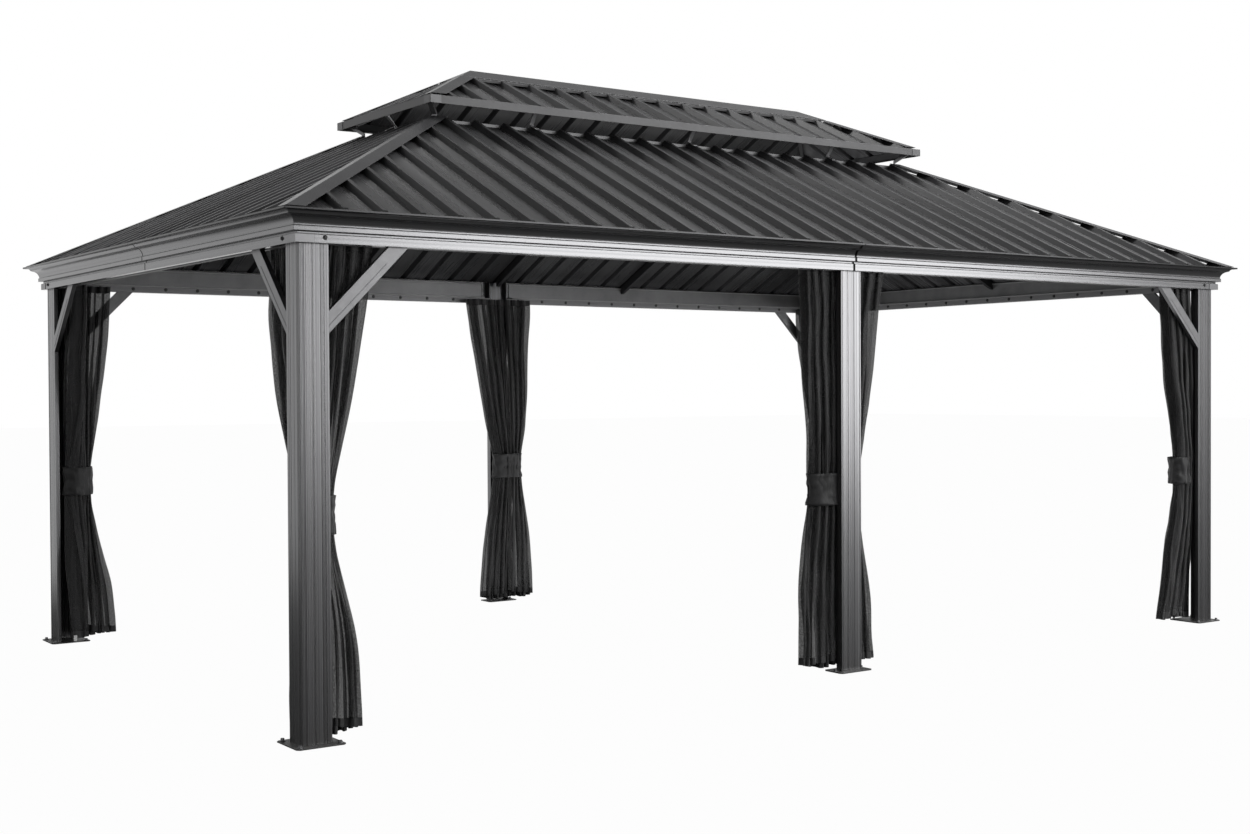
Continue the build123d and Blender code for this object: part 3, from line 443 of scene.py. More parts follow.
# Knee braces: hollow aluminium bars at 45 degrees between the corner posts and the beams.
# A fine raised bead from the extrusion runs along the outer face of each.
brace_finish = coated_metal("brace_powder_coat", ALUMINIUM_GREY, 0.36, (8, 8, 8), 0.85)
finish_node("knee_braces", brace_finish)
BRACE_FOOT = Vector((0.125, 0.0, 1.6163))
BEAD_ABOVE_FOOT = 0.030
BEAD_LENGTH, BEAD_THICK, BEAD_WIDTH = 0.355, 0.002, 0.003
HALF_DIAGONAL = 0.3536
bm = bmesh.new()
slant = Matrix.Rotation(-math.pi / 4, 4, "Y")
size = Matrix.Diagonal((BEAD_LENGTH, BEAD_THICK, BEAD_WIDTH, 1))
middle = BRACE_FOOT + Vector((BEAD_LENGTH * HALF_DIAGONAL, 0.0, BEAD_LENGTH * HALF_DIAGONAL))
middle.z += BEAD_ABOVE_FOOT
for side_x, side_y in CORNERS:
    for turned in (False, True):
        bead = bmesh.ops.create_cube(bm, size=1.0)["verts"]
        bmesh.ops.transform(bm, matrix=Matrix.Translation(middle) @ slant @ size, verts=bead)
        for vert in bead:
            run, depth = vert.co.x, vert.co.y
            if turned:
                run, depth = depth, run
            vert.co.x, vert.co.y = side_x * (POST_X - run), side_y * (POST_Y - depth)
add_piece("brace_beads", bm, brace_finish)

# Curtain rails: slotted aluminium channels under a flange on the inside of the beams.
# Hexagon bolts on washers hold them every 190 mm.
RAIL_GREY = (0.24, 0.24, 0.245)
for node, stretch in (("long_curtain_rails", LONGWAYS), ("short_curtain_rails", CROSSWAYS)):
    finish_node(node, coated_metal(f"{node}_coat", RAIL_GREY, 0.4, stretch, 0.6, peel=0.1))
RAIL_FACE = 0.046
RAIL_BOLT_PITCH = 0.19
RAIL_BOLT_SHIFT = 0.04
RAIL_BOLT_Z = 1.984
LONG_BOLTS, SHORT_BOLTS = 14, 8
RAIL_BOLT_WIDTH, RAIL_BOLT_HEIGHT, RAIL_WASHER = 0.014, 0.006, 1.5
bm = bmesh.new()
for side_y in (-1, 1):
    for step in range(-LONG_BOLTS, LONG_BOLTS + 1):
        if step:
            x = step * RAIL_BOLT_PITCH - math.copysign(RAIL_BOLT_SHIFT, step)
            place = (x, side_y * (POST_Y - RAIL_FACE), RAIL_BOLT_Z)
            add_bolt(bm, place, (0, -side_y, 0), RAIL_BOLT_WIDTH, RAIL_BOLT_HEIGHT, RAIL_WASHER)
for side_x in (-1, 1):
    for step in range(-SHORT_BOLTS, SHORT_BOLTS + 1):
        place = (side_x * (POST_X - RAIL_FACE), step * RAIL_BOLT_PITCH, RAIL_BOLT_Z)
        add_bolt(bm, place, (-side_x, 0, 0), RAIL_BOLT_WIDTH, RAIL_BOLT_HEIGHT, RAIL_WASHER)
add_piece("rail_bolts", bm, dark_bolt_finish)

# Eave closures: folded aluminium strips above the rails that hide the back of the crown.
# Their upper and lower edges are turned in, as thin pale lips: a painted highlight along those edges.
CLOSURE_OUT, CLOSURE_IN = 0.002, 0.004
LIP_IN = 0.008
RAIL_LIP_IN = RAIL_FACE + 0.003
CLOSURE_HEIGHTS = (2.006, 2.092)
LIP_HEIGHTS = (2.092, 2.098)
RAIL_LIP_HEIGHTS = (1.9982, 2.0055)
LONG_CLOSURE = (0.105, 2.773)
SHORT_CLOSURE = (-1.583, 1.583)


def closure_strips(bm, inner, heights):
    """Straight strips inside all the sides of the eave, up to inner from the posts' faces."""
    near_end, far_end = LONG_CLOSURE
    runs = [("X", (near_end, far_end)), ("X", (-far_end, -near_end)), ("Y", SHORT_CLOSURE)]
    for axis, ends in runs:
        face = POST_Y if axis == "X" else POST_X
        for side in (-1, 1):
            for vert in bmesh.ops.create_cube(bm, size=1.0)["verts"]:
                run = ends[1] if vert.co.x > 0 else ends[0]
                depth = side * (face - (inner if vert.co.y > 0 else CLOSURE_OUT))
                height = heights[1] if vert.co.z > 0 else heights[0]
                vert.co = (run, depth, height) if axis == "X" else (depth, run, height)


bm = bmesh.new()
closure_strips(bm, CLOSURE_IN, CLOSURE_HEIGHTS)
closure_finish = coated_metal("closure_coat", (0.27, 0.27, 0.275), 0.38, (3, 3, 3), 0.7, peel=0.1)
add_piece("eave_closures", bm, closure_finish)
# The lips' pale colour is a painted highlight on the turned edges.
bm = bmesh.new()
closure_strips(bm, LIP_IN, LIP_HEIGHTS)
closure_strips(bm, RAIL_LIP_IN, RAIL_LIP_HEIGHTS)
lip_highlight_finish = coated_metal("closure_lip_painted_highlight", (0.42, 0.42, 0.425), 0.5, (3, 3, 3), 0.3, peel=0.1)
add_piece("closure_lip_highlights", bm, lip_highlight_finish)

# Rafters, curb and struts: thin steel tubes and straps, bolted together under the sheets.
# The rafters are coated darker than the eave. The curb and the struts are coated paler, which partly paints
# in the bright reflections on them.
for node in ("common_rafters", "hip_rafters", "upper_rafters"):
    finish_node(node, steel_finish)
for node, grey in (("vent_curb", 0.11), ("vent_struts", 0.3)):
    finish_node(node, coated_metal(f"{node}_coat", (grey, grey, grey * 1.02), 0.4, (3, 3, 3), 0.8))

# Roof sheets: ribbed steel of 0.6 mm with a baked coating, smoother than the powder coat.
# Wide shallow waves in the pans break up their reflections.
ROOF_GREY = (0.040, 0.040, 0.0415)


def roof_coating(name, stretch, across, spread):
    """Baked coating on thin sheet: a low gloss with shallow waves and faint run marks.

    Its tone changes in stripes across the slope by the factor spread: a little on the long slopes, and
    strongly on the short slopes as painted highlight and shade along the ribs."""
    material = coated_metal(name, ROOF_GREY, 0.27, stretch, peel=0.05, lines=0.12)
    tree = material.node_tree
    shader = tree.nodes["Principled BSDF"]
    place = add_node(tree, "ShaderNodeTexCoord")
    fine = next(node for node in tree.nodes if node.type == "BUMP")
    waves = add_node(tree, "ShaderNodeTexNoise", Scale=4.5, Detail=1.0)
    relief = add_node(tree, "ShaderNodeBump", Strength=0.16, Distance=0.0015)
    eased = next(node for node in tree.nodes if node.type == "BEVEL")
    drawn = add_node(tree, "ShaderNodeMapping", Scale=[1.0 if part > 1 else 0.2 for part in stretch])
    tree.links.new(place.outputs["Object"], drawn.inputs["Vector"])
    tree.links.new(drawn.outputs["Vector"], waves.inputs["Vector"])
    tree.links.new(waves.outputs["Fac"], relief.inputs["Height"])
    tree.links.new(eased.outputs["Normal"], relief.inputs["Normal"])
    tree.links.new(relief.outputs["Normal"], fine.inputs["Normal"])
    tone = shader.inputs["Base Color"].links[0].from_socket
    tone_stripes_map = add_node(tree, "ShaderNodeMapping", Scale=across)
    tone_stripes = add_node(tree, "ShaderNodeTexNoise", Scale=1.0, Detail=2.0, Roughness=0.6)
    strength = add_node(
        tree, "ShaderNodeMapRange", From_Min=0.3, From_Max=0.7, To_Min=1 / spread, To_Max=spread
    )
    graded = add_node(tree, "ShaderNodeVectorMath", operation="SCALE")
    tree.links.new(place.outputs["Object"], tone_stripes_map.inputs["Vector"])
    tree.links.new(tone_stripes_map.outputs["Vector"], tone_stripes.inputs["Vector"])
    tree.links.new(tone_stripes.outputs["Fac"], strength.inputs["Value"])
    tree.links.new(tone, graded.inputs[0])
    tree.links.new(strength.outputs["Result"], graded.inputs["Scale"])
    tree.links.new(graded.outputs[0], shader.inputs["Base Color"])
    return material


long_roof_finish = roof_coating("long_slope_coating", (12, 0.5, 0.5), (4.5, 0.1, 0.1), 1.3)
# On the short slopes the strong stripes are painted highlight and shade along the ribs.
short_roof_finish_painted_stripes = roof_coating("short_slope_coating_painted_stripes", (0.5, 12, 0.5), (0.1, 5.5, 0.1), 3.2)
for tier in ("lower_roof", "upper_roof"):
    for side in ("front", "back"):
        finish_node(f"{tier}_{side}", long_roof_finish)
    for side in ("left", "right"):
        finish_node(f"{tier}_{side}", short_roof_finish_painted_stripes)

# Rib plugs: pressed steel, a little paler than the roof, that shut the hollow ribs along both eaves.
# One is pushed into the lower end of each rib, just behind the cut edge of the sheet.
ROOF_PITCH = math.radians(25.6)
RIB_PITCH, RIB_RISE = 0.171, 0.03
RIB_BASE, RIB_TOP = 0.041, 0.017
PLUG_BEHIND_EDGE, PLUG_THICK, PLUG_HEIGHT = 0.0005, 0.003, 0.0275
LAST_RIB_IN = 0.044
FACINGS = (("front", 0), ("right", 90), ("back", 180), ("left", -90))


def slope_box(node, turn):
    """A slope's lowest height, half its length along the eave and its eave's setback."""
    low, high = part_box(node)
    corners = [Matrix.Rotation(-turn, 3, "Z") @ corner for corner in (low, high)]
    half = max(abs(corner.x) for corner in corners)
    setback = max(abs(corner.y) for corner in corners) - RIB_RISE * math.sin(ROOF_PITCH)
    return low.z, half, setback


def slope_frame(node, turn):
    """The matrix of a slope: its middle at the eave, X along the eave and Y up the slope."""
    lowest, half, setback = slope_box(node, turn)
    upright = Matrix.Rotation(ROOF_PITCH, 4, "X")
    return Matrix.Rotation(turn, 4, "Z") @ Matrix.Translation((0, -setback, lowest)) @ upright, half


def rib_plugs(bm, node, turn):
    """A plug in the end of each rib of one slope."""
    frame_at, half = slope_frame(node, turn)
    count = int((half - LAST_RIB_IN) / RIB_PITCH)
    for step in range(-count, count + 1):
        plug = bmesh.ops.create_cube(bm, size=1.0)["verts"]
        for vert in plug:
            width = RIB_TOP if vert.co.z > 0 else RIB_BASE
            vert.co = Vector((
                step * RIB_PITCH + math.copysign(width / 2, vert.co.x),
                PLUG_BEHIND_EDGE + (PLUG_THICK if vert.co.y > 0 else 0),
                PLUG_HEIGHT if vert.co.z > 0 else 0.0,
            ))
        bmesh.ops.transform(bm, matrix=frame_at, verts=plug)


plug_finish = coated_metal("plug_coating", (0.075, 0.075, 0.077), 0.42, (3, 3, 3), 0.3)
bm = bmesh.new()
for side, turn in FACINGS:
    for tier in ("lower", "upper"):
        rib_plugs(bm, f"{tier}_roof_{side}", math.radians(turn))
add_piece("rib_plugs", bm, plug_finish)

# Ridge cap lips: short folded tabs of the ridge cap, in the same sheet steel.
# They come down between the ribs of the front and back upper slopes and keep the rain out.
UPPER_HALF_WIDTH = 0.507
RIDGE_CAP_REACH = 0.122
LIP_WIDTH, LIP_THICK, LIP_HEIGHT = RIB_PITCH - 0.032, 0.0025, 0.015
LIP_TOP = 0.030


def ridge_lips(bm, node, turn):
    """The lip under the ridge cap's edge, between the ribs of one upper slope."""
    frame_at, half = slope_frame(node, turn)
    ridge_half = half - UPPER_HALF_WIDTH
    run = (UPPER_HALF_WIDTH - RIDGE_CAP_REACH) / math.cos(ROOF_PITCH)
    count = int((ridge_half + RIDGE_CAP_REACH) / RIB_PITCH)
    size = Matrix.Diagonal((LIP_WIDTH, LIP_THICK, LIP_HEIGHT, 1))
    for step in range(-count, count):
        lip = bmesh.ops.create_cube(bm, size=1.0)["verts"]
        middle = Vector(((step + 0.5) * RIB_PITCH, run, LIP_TOP - LIP_HEIGHT / 2))
        bmesh.ops.transform(bm, verts=lip, matrix=frame_at @ Matrix.Translation(middle) @ size)


bm = bmesh.new()
for side, turn in (("front", 0), ("back", 180)):
    ridge_lips(bm, f"upper_roof_{side}", math.radians(turn))
lip_finish = coated_metal("lip_coating", (0.2, 0.2, 0.203), 0.4, (3, 3, 3), 0.5)
add_piece("ridge_cap_lips", bm, lip_finish)

# Roof screws: coated steel, with a hexagon head on a washer, in the pan at the right of each rib.
# They show near the eave, half way up and near the top, and hold the sheets on the rafters.
SHEET = 0.002
SCREW_BESIDE_RIB = 0.036
SCREW_FROM_HIP = 0.06
SCREW_WIDTH, SCREW_HEIGHT, SCREW_WASHER = 0.009, 0.005, 1.8
LOWER_SCREW_RUNS, UPPER_SCREW_RUNS = (0.05, 0.68, 1.3), (0.05, 0.4)


def slope_screws(bm, node, turn, runs):
    """Screws on one slope, laid out facing the front and then turned to its side."""
    lowest, half, setback = slope_box(node, turn)
    out = Vector((0, -math.sin(ROOF_PITCH), math.cos(ROOF_PITCH)))
    turned = Matrix.Rotation(turn, 3, "Z")
    count = int(half / RIB_PITCH)
    for run in runs:
        for step in range(-count, count + 1):
            x = step * RIB_PITCH + SCREW_BESIDE_RIB
            if abs(x) + run > half - SCREW_FROM_HIP:
                continue
            place = Vector((x, run - setback, lowest + run * math.tan(ROOF_PITCH))) + out * SHEET
            add_bolt(bm, turned @ place, turned @ out, SCREW_WIDTH, SCREW_HEIGHT, SCREW_WASHER)


screw_finish = coated_metal("screw_coating", (0.07, 0.07, 0.072), 0.35, (40, 40, 40), metallic=0.4)
bm = bmesh.new()
for side, turn in FACINGS:
    slope_screws(bm, f"lower_roof_{side}", math.radians(turn), LOWER_SCREW_RUNS)
    slope_screws(bm, f"upper_roof_{side}", math.radians(turn), UPPER_SCREW_RUNS)
add_piece("roof_screws", bm, screw_finish)

# Hip caps, ridge cap and upper fascia: folded steel trim over the joints and edges of the sheets.
# The caps have the roof's own gloss; the fascia round the upper eave is duller and paler.
trim_finish = coated_metal("trim_coating", (0.05, 0.05, 0.052), 0.24, (2, 2, 2), peel=0.1)
fascia_finish = coated_metal("fascia_coating", (0.085, 0.085, 0.087), 0.42, (2, 2, 2), metallic=0.35)
for node in ("lower_hip_caps", "upper_hip_caps", "ridge_cap"):
    finish_node(node, trim_finish)
finish_node("upper_fascia", fascia_finish)

# Fascia corner covers: thin folded angles that hide the joints of the upper fascia.
# Each has two wings of 60 mm that lie flat on the fascia's faces.
COVER_WING = 0.06
COVER_SKIN = 0.002
fascia_low, fascia_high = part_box("upper_fascia")
bm = bmesh.new()
for side_x, side_y in CORNERS:
    corner = Vector((side_x * fascia_high.x, side_y * fascia_high.y, 0))
    on_long = Vector((-side_x, 0, 0)), Vector((0, side_y, 0))
    on_short = Vector((0, -side_y, 0)), Vector((side_x, 0, 0))
    for along, out in (on_long, on_short):
        wing = bmesh.ops.create_cube(bm, size=1.0)["verts"]
        for vert in wing:
            run = (vert.co.x + 0.5) * (COVER_WING + COVER_SKIN) - COVER_SKIN
            lift = fascia_high.z if vert.co.z > 0 else fascia_low.z
            vert.co = corner + along * run + out * (vert.co.y + 0.5) * COVER_SKIN + Vector((0, 0, lift))
cover_finish = coated_metal("cover_coating", (0.12, 0.12, 0.123), 0.38, (3, 3, 3), 0.5)
add_piece("fascia_corner_covers", bm, cover_finish)

# Curtains: panels of fine black netting with sewn hems, pushed along their rails to the posts.
# Each panel hangs in deep folds, is drawn in by the tie and spreads again below it. Its leading
# edge is folded back over the bunch as one broad flap.
PANEL_WIDTH = 1.42
PANEL_TOP = 1.985
PANEL_BOTTOM = 0.026
PANEL_DROP = PANEL_TOP - PANEL_BOTTOM
HEM = 0.035


def woven_cloth(name, colour, gap_share, thread_scale):
    """Woven threads with gaps between them, and solid sewn hems round the panel's edge."""
    material = bpy.data.materials.new(name)
    material.use_nodes = True
    tree = material.node_tree
    shader = tree.nodes["Principled BSDF"]
    shader.inputs["Sheen Weight"].default_value = 0.3
    shader.inputs["Sheen Roughness"].default_value = 0.4
    shader.inputs["Roughness"].default_value = 0.62
    flat = add_node(tree, "ShaderNodeUVMap", uv_map="cloth")
    weave = add_node(tree, "ShaderNodeTexNoise", Scale=thread_scale, Detail=3.0, Roughness=0.7)
    cloud = add_node(tree, "ShaderNodeTexNoise", Scale=0.8, Detail=5.0)
    # The cloud streaks the tone down the cloth, from about half to three times the black: painted sheen
    # along the folds.
    tone = add_node(tree, "ShaderNodeValToRGB")
    tone.color_ramp.elements[0].position = 0.3
    tone.color_ramp.elements[0].color = (*(part * 0.55 for part in colour), 1)
    tone.color_ramp.elements[1].position = 0.72
    tone.color_ramp.elements[1].color = (*(part * 3.2 for part in colour), 1)
    relief = add_node(tree, "ShaderNodeBump", Strength=0.5, Distance=0.001)
    drawn = add_node(tree, "ShaderNodeMapping", Scale=(15, 2.4, 1), Rotation=(0, 0, 0.14))
    wrinkle = add_node(tree, "ShaderNodeTexNoise", Scale=1.0, Detail=2.5, Roughness=0.5, Distortion=0.8)
    wrinkled = add_node(tree, "ShaderNodeBump", Strength=1.0, Distance=0.02)
    tree.links.new(flat.outputs["UV"], drawn.inputs["Vector"])
    tree.links.new(drawn.outputs["Vector"], wrinkle.inputs["Vector"])
    tree.links.new(wrinkle.outputs["Fac"], wrinkled.inputs["Height"])
    tree.links.new(wrinkled.outputs["Normal"], relief.inputs["Normal"])
    tree.links.new(flat.outputs["UV"], weave.inputs["Vector"])
    tree.links.new(drawn.outputs["Vector"], cloud.inputs["Vector"])
    tree.links.new(cloud.outputs["Fac"], tone.inputs["Fac"])
    tree.links.new(tone.outputs["Color"], shader.inputs["Base Color"])
    tree.links.new(weave.outputs["Fac"], relief.inputs["Height"])
    tree.links.new(relief.outputs["Normal"], shader.inputs["Normal"])
    if gap_share:
        open_weave(tree, shader, flat, weave, gap_share)
    return material


def open_weave(tree, shader, flat, weave, gap_share):
    """The cloth lets light through its gaps, except in the hems."""
    cover = add_node(tree, "ShaderNodeMapRange", From_Min=0.35, From_Max=0.65,
                     To_Min=1 - 1.6 * gap_share, To_Max=1 - 0.4 * gap_share)
    tree.links.new(weave.outputs["Fac"], cover.inputs["Value"])
    place = add_node(tree, "ShaderNodeSeparateXYZ")
    tree.links.new(flat.outputs["UV"], place.inputs[0])
    solid = cover.outputs["Result"]
    for axis, operation, line in (
        ("X", "LESS_THAN", HEM), ("X", "GREATER_THAN", PANEL_WIDTH - HEM),
        ("Y", "LESS_THAN", HEM), ("Y", "GREATER_THAN", PANEL_DROP - HEM),
    ):
        edge = add_node(tree, "ShaderNodeMath", operation=operation)
        edge.inputs[1].default_value = line
        denser = add_node(tree, "ShaderNodeMath", operation="MAXIMUM")
        tree.links.new(place.outputs[axis], edge.inputs[0])
        tree.links.new(edge.outputs[0], denser.inputs[0])
        tree.links.new(solid, denser.inputs[1])
        solid = denser.outputs[0]
    tree.links.new(solid, shader.inputs["Alpha"])


CURTAIN_BLACK = (0.011, 0.011, 0.0114)
netting_finish = woven_cloth("black_netting", CURTAIN_BLACK, 0.27, 130.0)
ACROSS, DOWN = 190, 90
HEM_RISE, HEM_RIPPLE = 0.035, 0.006
FOLDS = 6.25
FOLDED_SHARE = 0.78
FOLD_DEPTH, FOLD_VARIES = 0.86, 0.3
FINE_FOLDS = 0.12
FOLD_LEAN = 0.2
WANDER = ((1, 0.34, 0.9), (2, 0.3, -1.3), (3, 0.24, 1.7))
SWAY = 0.1
ROLL_SHARE, ROLL_OUT = 0.1, 0.05
FLAP_FOLDS, FLAP_WAVE, FLAP_SLIP, FLAP_TWIST = 3.4, 0.26, 0.02, 0.8
FLAP_LIFT, FLAP_REACH = 1.12, 0.86
BROAD_CREASE, FINE_CREASE = 0.03, 0.012
LEVELS = (1.97, 1.70, 1.35, 1.08, 0.975, 0.82, 0.70, 0.40, 0.02)
GATHER = (0.0, 0.1, 0.35, 0.8, 1.0, 1.0, 0.8, 0.35, 0.1)
LEVEL_STEPS = 240
LEVEL_SPAN = 2
ROUNDED_OVER = (-0.09, -0.06, -0.03, 0, 0.03, 0.06, 0.09)


def smooth_levels(values):
    """A value for each of many heights, rounded where the straight stretches meet."""
    steps = []
    for step in range(LEVEL_STEPS + 1):
        total = 0.0
        for offset in ROUNDED_OVER:
            height = min(max(step / LEVEL_STEPS * LEVEL_SPAN + offset, LEVELS[-1]), LEVELS[0])
            index = next(i for i in range(1, len(LEVELS)) if LEVELS[i] <= height)
            share = (LEVELS[index - 1] - height) / (LEVELS[index - 1] - LEVELS[index])
            total += values[index - 1] * (1 - share) + values[index] * share
        steps.append(total / len(ROUNDED_OVER))
    return steps


def at_height(steps, height):
    """The smoothed value at a height."""
    place = min(max(height / LEVEL_SPAN * LEVEL_STEPS, 0), LEVEL_STEPS - 1e-6)
    index = int(place)
    return steps[index] * (1 - place + index) + steps[index + 1] * (place - index)


def gathered_panel(name, corner, along, inward, near, far, depth, flap_side, seed):
    """A panel of netting: folds from the near line to the far line, then the flap laid back.

    The near and far lines are distances along the rail and in from the posts' outer faces."""
    draw = random.Random(seed)
    phases = [draw.uniform(0, 2 * math.pi) for _ in range(8)]
    lines = [smooth_levels(values) for values in (*near, *far, depth, GATHER)]
    bm = bmesh.new()
    uv = bm.loops.layers.uv.new("cloth")
    bmesh.ops.create_grid(bm, x_segments=ACROSS, y_segments=DOWN, size=0.5)
    for face in bm.faces:
        face.smooth = True
        for loop in face.loops:
            loop[uv].uv = ((loop.vert.co.x + 0.5) * PANEL_WIDTH, (loop.vert.co.y + 0.5) * PANEL_DROP)
    for vert in bm.verts:
        s = vert.co.x + 0.5
        bottom = PANEL_BOTTOM + HEM_RISE * s ** 4 + HEM_RIPPLE * math.sin(9 * s + phases[0])
        height = bottom + (vert.co.y + 0.5) * (PANEL_TOP - bottom)
        near_a, near_b, far_a, far_b, deep, gather = (at_height(line, height) for line in lines)
        wobble = 1 + SWAY * (1 - gather) * noise.noise(Vector((height * 2.6, seed * 5.1, 0.5)))
        reach = Vector((far_a - near_a, far_b - near_b)) * wobble
        side = reach.normalized().orthogonal()
        if side.dot(Vector((1, 1))) < 0:
            side = -side
        side *= flap_side
        u = min(s / FOLDED_SHARE, 1.0)
        v = max((s - FOLDED_SHARE) / (1 - FOLDED_SHARE), 0.0)
        wander = 0
        for k, size, rate in WANDER:
            start = phases[k] + height * rate
            swing = math.sin(2 * math.pi * k * u + start) - math.sin(start)
            wander += size * swing / (2 * math.pi * k)
        turn = 2 * math.pi * FOLDS * (u + wander)
        size = FOLD_DEPTH + FOLD_VARIES * noise.noise(Vector((u * 4.0, height * 1.3, seed * 2.3)))
        wave = size * math.sin(turn) + FINE_FOLDS * math.sin(2.3 * turn + phases[4] + height)
        slip = -math.sin(2 * turn) * FOLD_LEAN / FOLDS
        rounding = min(v / ROLL_SHARE, 1.0)
        spread = u + slip * (1 - rounding)
        if v > 0:
            broad = 2 * math.pi * FLAP_FOLDS * v + phases[5] + FLAP_TWIST * height
            wave = size + (FLAP_LIFT - size) * rounding + FLAP_WAVE * rounding * (math.sin(broad) - 0.4)
            spread = 1 - v * FLAP_REACH + ROLL_OUT * math.sin(math.pi * rounding)
            spread += FLAP_SLIP * rounding * math.sin(2 * broad)
        envelope = 1 - gather * (1 - math.sqrt(max(1 - min(spread, 1) ** 2, 0.0)))
        crease = noise.noise(Vector((s * 4.5, height * 2.2, seed * 3.7))) * BROAD_CREASE * (1 - 0.7 * gather)
        crease += noise.noise(Vector((s * 16, height * 6 + s * 9, seed * 1.3))) * FINE_CREASE
        point = Vector((near_a, near_b)) + reach * spread + side * (deep * envelope * wave + crease * 0.7)
        vert.co = Vector(corner) + along * point.x + inward * point.y
        vert.co.z = height
    mesh = bpy.data.meshes.new(name)
    bm.to_mesh(mesh)
    bm.free()
    mesh.materials.append(netting_finish)
    piece = bpy.data.objects.new(name, mesh)
    bpy.context.scene.collection.objects.link(piece)
    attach(piece, "root")
    return piece


# Where the panels hang at each of the levels above, from the rail down: distances from the post
# along the rail (near and far), and in from the posts' outer faces. The hidden ones are guessed.
CORNER_FAR = {
    ("front_left", "long"): (0.335, 0.300, 0.245, 0.185, 0.160, 0.160, 0.190, 0.262, 0.288),
    ("front_left", "short"): (0.410, 0.415, 0.320, 0.190, 0.160, 0.160, 0.180, 0.220, 0.250),
    ("back_left", "long"): (0.316, 0.295, 0.255, 0.215, 0.190, 0.190, 0.210, 0.280, 0.340),
    ("back_left", "short"): (0.300, 0.270, 0.230, 0.180, 0.160, 0.160, 0.180, 0.225, 0.250),
    ("front_right", "long"): (0.345, 0.330, 0.300, 0.255, 0.240, 0.240, 0.260, 0.330, 0.400),
    ("front_right", "short"): (0.300, 0.270, 0.230, 0.180, 0.160, 0.160, 0.180, 0.225, 0.260),
    ("back_right", "long"): (0.318, 0.290, 0.235, 0.178, 0.160, 0.160, 0.178, 0.225, 0.262),
    ("back_right", "short"): (0.305, 0.280, 0.230, 0.178, 0.160, 0.160, 0.178, 0.225, 0.255),
}
CORNER_NEAR = (0.125, 0.110, 0.105, 0.108, 0.110, 0.110, 0.108, 0.105, 0.105)
RAIL_SIDE = (0.088, 0.092, 0.100, 0.108, 0.110, 0.110, 0.108, 0.108, 0.108)
CORNER_IN = (0.088, 0.080, 0.074, 0.063, 0.060, 0.060, 0.063, 0.075, 0.085)
CORNER_DEPTH = (0.036, 0.042, 0.049, 0.052, 0.053, 0.053, 0.053, 0.050, 0.032)
MIDDLE_FAR = {
    ("front", "left"): (0.250, 0.240, 0.225, 0.205, 0.200, 0.200, 0.225, 0.262, 0.272),
    ("front", "right"): (0.250, 0.225, 0.190, 0.150, 0.120, 0.120, 0.135, 0.178, 0.205),
    ("back", "left"): (0.262, 0.215, 0.160, 0.100, 0.065, 0.065, 0.090, 0.140, 0.168),
    ("back", "right"): (0.183, 0.180, 0.172, 0.155, 0.129, 0.129, 0.150, 0.185, 0.206),
}
MIDDLE_SHIFT = {"front": (0, -0.01, -0.02, -0.03, -0.04, -0.04, -0.04, -0.04, -0.03),
                "back": (-0.03, -0.01, 0.01, 0.025, 0.033, 0.033, 0.025, 0.015, 0.01)}
MIDDLE_IN = (0.088,) * len(LEVELS)
MIDDLE_DEPTH = (0.037, 0.042, 0.046, 0.048, 0.049, 0.049, 0.048, 0.045, 0.031)


def hang_panel(curtain):
    """Hides the CAD curtain that the cloth replaces."""
    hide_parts(curtain)


X_AXIS, Y_AXIS = Vector((1, 0, 0)), Vector((0, 1, 0))
seed = 3
bunches = []
for side_y, side in ((-1, "front"), (1, "back")):
    flap_side = side_y
    for side_x, place in ((-1, "left"), (1, "right")):
        corner = (side_x * POST_X, side_y * POST_Y, 0)
        bunch = f"{side}_{place}"
        long_way, short_way = X_AXIS * -side_x, Y_AXIS * -side_y
        for way, other, label in ((long_way, short_way, "long"), (short_way, long_way, "short")):
            seed += 1
            panel = gathered_panel(
                f"netting_{bunch}_{label}", corner, way, other, (CORNER_NEAR, RAIL_SIDE),
                (CORNER_FAR[bunch, label], CORNER_IN), CORNER_DEPTH, flap_side, seed,
            )
            hang_panel(f"curtain_{bunch}")
        ends = ((CORNER_FAR[bunch, "long"], CORNER_IN), (CORNER_IN, CORNER_FAR[bunch, "short"]))
        panels = [f"netting_{bunch}_long", f"netting_{bunch}_short"]
        bunches.append((bunch, corner, long_way, short_way, ends, CORNER_DEPTH, seed, panels))
    post = (0, side_y * POST_Y, 0)
    inward = Y_AXIS * -side_y
    for side_x, label in ((-1, "left"), (1, "right")):
        seed += 1
        near = tuple(shift * side_x for shift in MIDDLE_SHIFT[side])
        panel = gathered_panel(
            f"netting_{side}_middle_{label}", post, X_AXIS * side_x, inward, (near, MIDDLE_IN),
            (MIDDLE_FAR[side, label], MIDDLE_IN), MIDDLE_DEPTH, flap_side, seed,
        )
        hang_panel(f"curtain_{side}_middle")
    ends = [([side_x * far for far in MIDDLE_FAR[side, label]], MIDDLE_IN)
            for side_x, label in ((1, "right"), (-1, "left"))]
    panels = [f"netting_{side}_middle_left", f"netting_{side}_middle_right"]
    bunches.append((f"{side}_middle", post, X_AXIS, inward, ends, MIDDLE_DEPTH, seed, panels))

# Ties: wide bands of woven polyester, wrapped round each bunch and fastened at the back.
# Each is drawn in a little at its middle, and creased where it presses on the folds.
TIE_LOW, TIE_HIGH = 0.82, 0.975
TIE_LEVEL = LEVELS.index(TIE_LOW)
TIE_SEGMENTS, TIE_ROWS = 96, 12
TIE_BEYOND_ENDS, TIE_CLEARANCE = 0.008, 0.012
TIE_WAIST, TIE_SQUARE, TIE_CREASE = 0.06, 0.86, 0.009
TIE_THICK = 0.003
band_finish = woven_cloth("woven_band", CURTAIN_BLACK, 0.0, 300.0)


